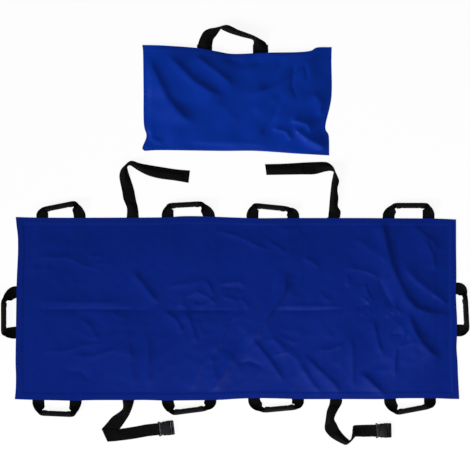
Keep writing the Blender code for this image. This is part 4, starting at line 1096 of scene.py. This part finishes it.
class STRETCHER_OT_mould_grips(Operator):
    """Moulds the ten grips with finger ribs on the side of the mat"""

    bl_idname = "stretcher.mould_grips"
    bl_label = "Mould the Grips"

    def execute(self, context):
        looks = context.scene.stretcher_grip
        rubber = shared_material("grip_rubber", moulded, looks.colour, roughness=0.5, specular=0.08)
        for where in HANDLES:
            _, along, _ = out_of(f"lift_{where}_handle")
            middle, lean = grip_place(where)
            made = self.grip_shape(f"grip_{where}_rubber", looks, rubber)
            run_tree(made, group("Finger Ribs", rib_tree),
                     **{"Ribbed length": looks.rib_length, "Ribs": looks.ribs, "Height": looks.rib_height,
                        "Material": rubber})
            turn = math.atan2(along.y, along.x) + lean
            made.data.transform(Matrix.Translation(middle) @ Matrix.Rotation(turn, 4, "Z"))
            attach(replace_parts(made, f"grip_{where}"), f"{where}_handle")
        return {"FINISHED"}

    def grip_shape(self, name, looks, rubber):
        """Smooth body of a grip about its middle, with rounded and flared ends and a flat bore."""
        half, sides, ring = looks.length / 2, 36, 0.00085
        end_run, end_drop, flare_run, bore_end = 0.0030, 0.0026, 0.022, 0.004
        depth_power, height_power, bore_half_depth, bore_half_height = 0.85, 0.75, 0.0096, 0.0034
        angles = 2 * math.pi * (np.arange(sides) + 0.5) / sides
        y = np.sign(np.cos(angles)) * np.abs(np.cos(angles)) ** depth_power * looks.depth / 2
        z = np.sign(np.sin(angles)) * np.abs(np.sin(angles)) ** height_power * looks.height / 2
        rings = []
        ends = half - end_run * (1 - np.cos(np.linspace(0, math.pi / 2, 5)))
        body = np.arange(0, looks.rib_length / 2 + 0.02, ring)
        body = body[body < half - end_run - 0.001]
        xs = np.concatenate([-ends, -body[:0:-1], body, ends[::-1]])
        for x in xs:
            into = max(0.0, (abs(x) - (half - end_run)) / end_run)
            drop = end_drop * (1 - math.sqrt(max(0.0, 1 - into ** 2)))
            flare = looks.flare * float(ease((abs(x) - looks.rib_length / 2 + 0.004) / flare_run))
            wide = y * (1 - 2 * drop / looks.depth)
            wide = np.where(wide < 0, wide * (1 + 2 * flare / looks.depth), wide)
            rings.append(np.column_stack([np.full(sides, x), wide, z * (1 - 2 * drop / looks.height)]))
        bore_y = np.clip(2.0 * np.cos(angles), -1, 1) * bore_half_depth
        bore_z = np.clip(1.5 * np.sin(angles), -1, 1) * bore_half_height
        for x in (xs[-1], xs[-1] - bore_end, xs[0] + bore_end, xs[0]):
            rings.append(np.column_stack([np.full(sides, x), bore_y, bore_z]))
        points = np.concatenate(rings)
        faces = []
        for i in range(len(rings)):
            j = (i + 1) % len(rings)
            for k in range(sides):
                m = (k + 1) % sides
                faces.append((i * sides + k, i * sides + m, j * sides + m, j * sides + k))
        mesh = bpy.data.meshes.new(name)
        mesh.from_pydata(points.tolist(), [], faces)
        made = placed(name, mesh, rubber)
        bm = bmesh.new()
        bm.from_mesh(mesh)
        bmesh.ops.recalc_face_normals(bm, faces=bm.faces)
        bm.to_mesh(mesh)
        bm.free()
        mesh.shade_smooth()
        mesh.set_sharp_from_angle(angle=math.radians(45))
        return made


class STRETCHER_OT_lay_straps(Operator):
    """Lays the four strap halves with the twists and the fold that they have on the floor"""

    bl_idname = "stretcher.lay_straps"
    bl_label = "Lay the Straps"

    def execute(self, context):
        looks = context.scene.stretcher_webbing
        low = FRAME_BOX[0].z + looks.thick / 2
        wave_height, lead_rows = 0.0012, 12
        for which in STRAPS:
            edges = metres(STRAP_EDGES[which])
            joint = JOINTS[f"raise_{which}_strap"]
            root, _, out = out_of(joint["name"])
            if which in FLAT_FOLDS:
                grid = self.folded(edges, FLAT_FOLDS[which], low, looks)
            else:
                line = smooth(edges, STEP)
                rise = np.maximum(1 + waves(line[:, 0], line[:, 1], length=0.11, count=4, seed=3), 0)
                level = low + wave_height * rise * ease(np.arange(len(line)) / lead_rows)
                grid = pinched(line, level, looks.width)
            if which.startswith("near"):
                grid = np.concatenate([grid, self.buckle_loop(which, grid, low, looks)])
            made = tape(f"strap_{which}_tape", grid, looks.thick, looks.width, webbing_material(context))
            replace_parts(made, f"strap_{which}")
            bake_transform(made, joint["parent"], f"{which}_strap", start=root, end=root + out * looks.bend)
        return {"FINISHED"}

    def folded(self, edges, fold, low, looks):
        """Grid of a strap that folds flat over itself at one of its stations."""
        radius = looks.thick * TAPE_BEND
        before, after = smooth(edges[:fold + 1], STEP), smooth(edges[fold:], STEP)
        first = pinched(before, np.full(len(before), low), looks.width)
        beside, slope = 0.05, 0.05
        gone = np.arange(len(after)) * STEP
        rise = 2 * radius * (1 - ease((gone - beside) / slope))
        second = pinched(after, low + rise, looks.width)
        crease = first[-1]
        outward = np.cross(crease[-1] - crease[0], [0, 0, 1])
        outward *= np.sign(outward @ (crease.mean(axis=0) - first[0].mean(axis=0)))
        outward /= np.linalg.norm(outward)
        bend = []
        for turn in np.linspace(0, math.pi, 9)[1:-1]:
            rise = np.array([0, 0, radius * (1 - math.cos(turn))])
            bend.append(crease + outward * radius * math.sin(turn) + rise)
        return np.concatenate([first, bend, second])

    def buckle_loop(self, which, grid, low, looks):
        """Rows that lead over the buckle's bar, round it and back under the strap."""
        side = which.split("_")[1]
        bar = Vector(JOINTS[f"swing_{side}_buckle"]["pos_m"])
        heading = np.array(JOINTS[f"pull_{side}_plug"]["axis"])
        half = np.array([heading[1], -heading[0], 0]) * looks.width / 2
        if (grid[-1][-1] - grid[-1][0]) @ half < 0:
            half = -half
        bar_radius, play, near_bar, rise_over, rise_under = 0.0022, 0.0004, 0.7, 0.0010, 0.0004
        radius = bar_radius + play + looks.thick / 2
        lead, sewn = looks.lead, looks.sewn
        over, under = low + looks.thick + looks.loop_gap, low
        places, _ = across_tape()
        spots = [(-lead - sewn, over), (-lead - sewn / 2, over), (-lead, over),
                 (-lead * near_bar, over + rise_over)]
        for turn in np.radians(np.linspace(111, -99, 16)):
            spots.append((radius * math.cos(turn), bar.z + radius * math.sin(turn)))
        spots += [(-lead * near_bar, under + rise_under), (-lead, under), (-lead - sewn / 2, under),
                  (-lead - sewn, under)]
        rows = []
        for way, level in spots:
            middle = np.array([bar.x, bar.y, 0]) + heading * way
            middle[2] = level
            rows.append(middle + places[:, None] * half)
        return np.array(rows)


class STRETCHER_OT_mould_buckles(Operator):
    """Gives the two side-release buckles rounded edges, lips in their slots and their moulded plastic"""

    bl_idname = "stretcher.mould_buckles"
    bl_label = "Mould the Buckles"

    def execute(self, context):
        looks = context.scene.stretcher_buckle
        plastic = shared_material("buckle_plastic", moulded, looks.colour, roughness=0.42, specular=0.14)
        for name, node in NODES.items():
            if name.startswith("buckle_arm"):
                node.data.materials.clear()
                node.data.materials.append(plastic)
            elif name.startswith("buckle"):
                side = name.split("_")[-1]
                made = self.housing(name, side, looks, plastic)
                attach(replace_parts(made, name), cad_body(name))
        return {"FINISHED"}

    def housing(self, name, side, looks, plastic):
        """A socket or plug with rounded edges, in the place and turn of its buckle."""
        bar = Vector(JOINTS[f"swing_{side}_buckle"]["pos_m"])
        way = Vector(JOINTS[f"pull_{side}_plug"]["axis"])
        weld, near, slack, flat, crisp = 0.00002, 0.0006, 0.0002, math.radians(2), math.radians(35)
        home = Matrix.Translation(bar) @ Matrix((way, UP.cross(way), UP)).transposed().to_4x4()
        bm = bmesh.new()
        bm.from_mesh(NODES[name].data)
        bm.transform(home.inverted() @ NODES[name].matrix_world)
        bmesh.ops.remove_doubles(bm, verts=bm.verts, dist=weld)
        bmesh.ops.dissolve_limit(bm, angle_limit=flat, verts=bm.verts, edges=bm.edges)
        if "socket" in name:
            for vert in bm.verts:
                if abs(vert.co.x - looks.rear) < near and abs(vert.co.y) < looks.slot / 2 + slack:
                    vert.co.x -= looks.rear_lip
        sharp = [edge for edge in bm.edges if edge.is_manifold and edge.calc_face_angle() > crisp]
        bmesh.ops.bevel(bm, geom=sharp, offset=looks.rounding, segments=2, profile=0.5, affect="EDGES",
                        clamp_overlap=True)
        if "plug" in name:
            for start in (looks.ladder, looks.ladder + looks.ladder_pitch):
                self.slanted_lip(bm, start, looks)
        bmesh.ops.recalc_face_normals(bm, faces=bm.faces)
        bm.transform(home)
        mesh = bpy.data.meshes.new(name + "_housing")
        bm.to_mesh(mesh)
        bm.free()
        mesh.shade_smooth()
        mesh.set_sharp_from_angle(angle=math.radians(40))
        return placed(name + "_housing", mesh, plastic)

    def slanted_lip(self, bm, start, looks):
        """A lip that leans through a ladder slot, from low at its start to high at its end."""
        overlap, gap, side_overlap = 0.0004, 0.0003, 0.0005
        first, last = start - overlap, start + looks.ladder_slot - gap
        half, wall = looks.slot / 2 + side_overlap, looks.lip_wall
        section = [(first, -looks.lip_low), (last, looks.lip_high), (last, looks.lip_high - wall),
                   (first, -looks.lip_low - wall)]
        rows = [[bm.verts.new((x, y, z)) for x, z in section] for y in (-half, half)]
        for i in range(4):
            j = (i + 1) % 4
            bm.faces.new((rows[0][i], rows[0][j], rows[1][j], rows[1][i]))
        bm.faces.new(rows[0][::-1])
        bm.faces.new(rows[1])


def along_line(points, t):
    """Places at shares of the length of a smooth line."""
    points = smooth(metres(points), STEP)
    run = np.concatenate([[0], np.cumsum(np.linalg.norm(np.diff(points, axis=0), axis=1))])
    return np.stack([np.interp(t * run[-1], run, points[:, i]) for i in range(2)], axis=-1)


def bag_plan(u, v):
    """Place on the grid that fills the bag's outline, as x and y."""
    left, right = along_line(BAG_SIDES[0], v), along_line(BAG_SIDES[1], v)
    seam, mouth = along_line(BAG_SEAM, u), along_line(BAG_MOUTH, u)
    corners = [metres(p) for p in (BAG_SEAM[0], BAG_SEAM[-1], BAG_MOUTH[0], BAG_MOUTH[-1])]
    u, v = u[..., None], v[..., None]
    flat = ((1 - u) * (1 - v) * corners[0] + u * (1 - v) * corners[1] + (1 - u) * v * corners[2]
            + u * v * corners[3])
    return (1 - v) * seam + v * mouth + (1 - u) * left + u * right - flat


def bag_hem(v):
    """How far the cloth is doubled by the hem at the bag's mouth, from 0 to 1."""
    width, step = 0.0232, 0.0012
    return ease((width - (1 - v) * BAG_DEPTH) / step)


def laid_bag(looks):
    """Plan of the bag's cloth, and the points of its front."""
    columns, rows, gap, fullness = 170, 104, 0.0003, 0.6
    fold_fade, rim_height, rim_fade, fine = 0.035, 0.0006, 0.01, 0.0014
    u, v = np.meshgrid(np.linspace(0, 1, columns), np.linspace(0, 1, rows))
    plan = bag_plan(u, v)
    side = 1 - np.abs(2 * u - 1) ** looks.sides
    swell = side * (looks.loft * np.sin(math.pi * v) ** fullness + looks.opening * v * v)
    folds = ridges(plan[..., 0], plan[..., 1], BAG_FOLDS) * looks.fold_share
    folds += fine * waves(plan[..., 0], plan[..., 1], length=0.12, count=9, seed=8)
    inset = np.minimum(np.minimum(u, 1 - u) * BAG_WIDTH, v * BAG_DEPTH)
    height = np.maximum(swell + folds * ease(inset / fold_fade), rim_height * ease(inset / rim_fade))
    level = FRAME_BOX[0].z + 1.5 * looks.cloth_thick + gap + looks.cloth_thick * bag_hem(v) / 2
    return plan, np.dstack([plan, level + height])


class STRETCHER_OT_lay_bag(Operator):
    """Lays the carry bag: back, billowing front and webbing handle"""

    bl_idname = "stretcher.lay_bag"
    bl_label = "Lay the Bag"

    def execute(self, context):
        looks = context.scene.stretcher_bag
        cloth = shared_material("bag_coated_cloth", coated_cloth, looks.colour, patch=0.18, roughness=0.38,
                                lift=0.12)
        thick = looks.cloth_thick
        floor = FRAME_BOX[0].z
        plan, front = laid_bag(looks)
        rows, columns = plan.shape[:2]
        v = np.linspace(0, 1, rows)[:, None]
        hem = bag_hem(v) * np.ones(columns)
        back = np.dstack([plan, np.full((rows, columns), floor + thick / 2)])
        set_back = 0.004
        back[..., 1] -= set_back * v
        sides = (("back", back, np.full(hem.shape, thick)), ("front", front, thick * (1 + hem)))
        for name, grid, wall in sides:
            made = shell(f"bag_{name}_cloth", grid, plan, 1.0, cloth, taper=wall)
            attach(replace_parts(made, f"bag_{name}_panel"), "bag")
        self.lay_handle(context, looks)
        return {"FINISHED"}

    def lay_handle(self, context, looks):
        """The bag's webbing handle, which lies with a twist."""
        line = smooth(metres(BAG_HANDLE_EDGES), STEP)
        root = Vector(JOINTS["lift_bag_handle"]["pos_m"])
        level = np.full(len(line), root.z - looks.web_thick / 2)
        grid = pinched(line, level, looks.web_width)
        made = tape("bag_handle_tape", grid[:, ::-1], looks.web_thick, looks.web_width,
                    webbing_material(context))
        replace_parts(made, "bag_handle")
        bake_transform(made, "bag", "bag_loop", start=root - Vector((0, 0.008, 0)),
                 end=root + Vector((0, 0.012, 0)))


def on_grid(xs, ys, grid, seams):
    """Seams given in the flat cloth's places, laid on the grid of the lying cloth."""
    laid = []
    for seam in seams:
        seam = np.array(seam)
        steps = max(2, round(np.linalg.norm(seam[1] - seam[0]) / STEP))
        flat = seam[0] + (seam[1] - seam[0]) * np.linspace(0, 1, steps)[:, None]
        i = np.interp(flat[:, 0], xs, np.arange(len(xs)))
        j = np.interp(flat[:, 1], ys, np.arange(len(ys)))
        i0, j0 = np.minimum(i.astype(int), len(xs) - 2), np.minimum(j.astype(int), len(ys) - 2)
        s, t = (i - i0)[:, None], (j - j0)[:, None]
        laid.append((1 - t) * ((1 - s) * grid[j0, i0] + s * grid[j0, i0 + 1])
                    + t * ((1 - s) * grid[j0 + 1, i0] + s * grid[j0 + 1, i0 + 1]))
    return laid


def box_seams(one, other, half):
    """Two sides and the cross of a box seam between two places on a tape's middle line."""
    one, other = np.array(one), np.array(other)
    way = (other - one) / np.linalg.norm(other - one)
    side = np.array([-way[1], way[0]]) * half
    return [(one - side, one + side), (other - side, other + side), (one - side, other + side),
            (one + side, other - side)]


class STRETCHER_OT_stitch_seams(Operator):
    """Stitches the hems, the webbing under the mat, the bag and the loops at the buckles"""

    bl_idname = "stretcher.stitch_seams"
    bl_label = "Stitch the Seams"

    def execute(self, context):
        scene = context.scene
        looks = scene.stretcher_stitch
        self.stitch_mat(scene.stretcher_mat, looks)
        self.stitch_bag(scene.stretcher_bag, looks)
        black = shared_material("black_thread", thread, looks.black)
        for side in ("left", "right"):
            made = stitch(f"buckle_stitches_{side}", self.loop_seams(side, scene.stretcher_webbing, looks),
                          looks, black)
            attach(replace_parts(made), f"near_{side}_strap")
        return {"FINISHED"}

    def stitch_mat(self, mat, looks):
        """Hem rows all round, and rows and box seams over each run of webbing."""
        xs, ys, cuts, folds, grid, thick = laid_mat(mat)
        top = grid + grid_normals(grid) * (thick / 2 + looks.thread * 0.2)[..., None]
        blue = shared_material("blue_thread", thread, looks.blue)
        for i, name in enumerate(SHEETS):
            seams = self.hem_seams(xs, ys, cuts, i, mat, looks)
            for far_x, near_x in cross_runs():
                if cuts[i] < (far_x + near_x) / 2 < cuts[i + 1]:
                    seams += self.run_seams(far_x, near_x, ys, mat, looks)
            made = stitch(f"mat_stitches_{name}", on_grid(xs, ys, top, seams), looks, blue)
            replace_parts(made)
            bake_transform(made, f"mat_{i + 1}", f"mat_{i + 2}", start=(folds[i] - mat.bend, 0, 0),
                     end=(folds[i] + mat.bend, 0, 0))

    def hem_seams(self, xs, ys, cuts, i, mat, looks):
        """Two rows along each hem that a sheet has."""
        seams = []
        for inset in (looks.edge, mat.hem - looks.edge):
            low = xs[0] + inset if i == 0 else cuts[i]
            high = xs[-1] - inset if i == 2 else cuts[i + 1]
            bottom, top = ys[0] + inset, ys[-1] - inset
            seams += [((low, y), (high, y)) for y in (bottom, top)]
            if i != 1:
                x = low if i == 0 else high
                seams.append(((x, bottom), (x, top)))
        return seams

    def run_seams(self, far_x, near_x, ys, mat, looks):
        """A row along each edge of a run of webbing, and a box seam at both its ends."""
        end = ys[-1] - mat.hem
        near, far = np.array((near_x, -end)), np.array((far_x, end))
        shift = np.array((looks.row, 0))
        way = (far - near) / np.linalg.norm(far - near)
        seams = [(near - shift, far - shift), (near + shift, far + shift)]
        seams += box_seams(near + way * looks.edge, near + way * looks.box, looks.row)
        return seams + box_seams(far - way * looks.edge, far - way * looks.box, looks.row)

    def stitch_bag(self, bag, looks):
        """The bag's side and bottom seams, and the row that holds its mouth's hem."""
        plan, front = laid_bag(bag)
        rows, columns = plan.shape[:2]
        top = front + grid_normals(front) * (bag.cloth_thick / 2 + looks.thread * 0.4)
        u, v = np.linspace(0, 1, columns), np.linspace(0, 1, rows)
        # As shares of the bag's width and depth: the mouth's hem, the bottom and both sides
        seams = [((0.01, 0.955), (0.99, 0.955)), ((0.012, 0.02), (0.988, 0.02)),
                 ((0.01, 0.02), (0.01, 0.99)), ((0.99, 0.02), (0.99, 0.99))]
        made = stitch("bag_stitches", on_grid(u, v, top, seams), looks,
                      shared_material("blue_thread", thread, looks.blue))
        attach(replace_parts(made), "bag")

    def loop_seams(self, side, webbing, looks):
        """Box seam that holds a strap's loop behind the buckle's bar."""
        bar = JOINTS[f"swing_{side}_buckle"]["pos_m"]
        way = np.array(JOINTS[f"pull_{side}_plug"]["axis"])[:2]
        level = FRAME_BOX[0].z + 2 * webbing.thick + webbing.loop_gap + looks.thread * 0.2
        start = np.array(bar[:2]) - way * (webbing.lead + looks.edge)
        end = np.array(bar[:2]) - way * (webbing.lead + webbing.sewn - looks.edge)
        across = np.array([-way[1], way[0]]) * looks.row
        seams = box_seams(start, end, looks.row)
        seams += [(start - across, end - across), (start + across, end + across)]
        return [[(*one, level), (*other, level)] for one, other in seams]


class STRETCHER_OT_set_stage(Operator):
    """Sets the pale floor, the soft lamps, the sky and the camera that looks straight down"""

    bl_idname = "stretcher.set_stage"
    bl_label = "Set the Stage"

    def execute(self, context):
        looks = context.scene.stretcher_stage
        scene = context.scene
        scene.view_settings.view_transform = "Standard"
        self.lay_floor(looks)
        self.hang_lamps(looks)
        self.light_sky(scene, looks)
        data = bpy.data.cameras.new("camera")
        data.lens = data.sensor_width * looks.camera_height / looks.view_width
        data.clip_end = 100
        camera = bpy.data.objects.new("camera", data)
        camera.location = Vector(looks.view_middle) + UP * looks.camera_height
        scene.collection.objects.link(camera)
        scene.camera = camera
        return {"FINISHED"}

    def lay_floor(self, looks):
        """Wide floor under the webbing, white to the camera but for a share of the shadow on it."""
        made = bpy.data.materials.new("floor")
        made.use_nodes = True
        tree = made.node_tree
        tree.nodes.clear()
        matt = place(tree, "ShaderNodeBsdfDiffuse", {"Color": (*looks.floor, 1)}).outputs[0]
        white = place(tree, "ShaderNodeEmission", {"Color": (1, 1, 1, 1), "Strength": 1.0}).outputs[0]
        seen = calc(tree, "MULTIPLY", place(tree, "ShaderNodeLightPath").outputs["Is Camera Ray"],
                    1 - looks.shadow_share)
        mixed = place(tree, "ShaderNodeMixShader", {0: seen, 1: matt, 2: white}).outputs[0]
        place(tree, "ShaderNodeOutputMaterial", {"Surface": mixed})
        half, gap = 30.0, 0.0002
        mesh = bpy.data.meshes.new("floor")
        level = FRAME_BOX[0].z - gap
        corners = [(x, y, level) for x, y in ((-half, -half), (half, -half), (half, half), (-half, half))]
        mesh.from_pydata(corners, [], [(0, 1, 2, 3)])
        placed("floor", mesh, made)

    def hang_lamps(self, looks):
        """A wide even key low on the left and near side, and a soft fill beyond the near edge."""
        away = 4
        flat_way = Vector((math.cos(looks.key_way), math.sin(looks.key_way), 0)) * math.cos(looks.key_rise)
        key = bpy.data.lights.new("key_light", "SUN")
        key.energy, key.angle = looks.key, looks.key_soft
        self.hang_lamp(key, (flat_way + UP * math.sin(looks.key_rise)) * away)
        fill = bpy.data.lights.new("fill_lamp", "AREA")
        fill.energy, fill.shape, fill.size = looks.fill, "DISK", looks.fill_size
        self.hang_lamp(fill, Vector(looks.fill_place))

    def hang_lamp(self, data, spot):
        """Hangs a lamp that faces the stretcher's middle."""
        lamp = bpy.data.objects.new(data.name, data)
        lamp.location = spot
        lamp.rotation_euler = (-spot).to_track_quat("-Z", "Y").to_euler()
        bpy.context.scene.collection.objects.link(lamp)

    def light_sky(self, scene, looks):
        """White sky to the camera, and an even light on the stretcher."""
        scene.world = bpy.data.worlds.new("sky")
        scene.world.use_nodes = True
        tree = scene.world.node_tree
        tree.nodes.clear()
        path = place(tree, "ShaderNodeLightPath").outputs
        plain = place(tree, "ShaderNodeMix", {"Factor": path["Is Camera Ray"], 2: looks.sky, 3: 1.0})
        sky = place(tree, "ShaderNodeBackground", {"Color": (1, 1, 1, 1), "Strength": plain.outputs[0]})
        place(tree, "ShaderNodeOutputWorld", {"Surface": sky.outputs[0]})


class STRETCHER_PT_looks(Panel):
    """Lists the steps that dress the stretcher"""

    bl_idname = "STRETCHER_PT_looks"
    bl_label = "Folding Stretcher"
    bl_space_type = "VIEW_3D"
    bl_region_type = "UI"
    bl_category = "Stretcher"

    def draw(self, context):
        for name in STEPS:
            self.layout.operator(f"stretcher.{name}")
        for part in LOOKS:
            box = self.layout.box()
            for key in LOOKS[part].__annotations__:
                box.prop(getattr(context.scene, "stretcher_" + part), key)


LOOKS = {"mat": MatLooks, "webbing": WebbingLooks, "grip": GripLooks, "bag": BagLooks,
         "buckle": BuckleLooks, "stitch": StitchLooks, "stage": StageLooks}
OPERATORS = (STRETCHER_OT_lay_mat, STRETCHER_OT_sew_webbing, STRETCHER_OT_thread_handles,
             STRETCHER_OT_mould_grips, STRETCHER_OT_lay_straps, STRETCHER_OT_mould_buckles,
             STRETCHER_OT_lay_bag, STRETCHER_OT_stitch_seams, STRETCHER_OT_set_stage)
STEPS = [step.bl_idname.split(".")[1] for step in OPERATORS]


def register():
    """Registers the looks, the steps and the panel."""
    for kind in (*LOOKS.values(), *OPERATORS, STRETCHER_PT_looks):
        bpy.utils.register_class(kind)
    for part, kind in LOOKS.items():
        setattr(bpy.types.Scene, "stretcher_" + part, PointerProperty(type=kind))


def unregister():
    """Takes all of them away again."""
    for part in LOOKS:
        delattr(bpy.types.Scene, "stretcher_" + part)
    for kind in (STRETCHER_PT_looks, *reversed(OPERATORS), *LOOKS.values()):
        bpy.utils.unregister_class(kind)


def main():
    """Runs all steps in order."""
    register()
    for name in STEPS:
        getattr(bpy.ops.stretcher, name)()


if __name__ == "__main__":
    main()
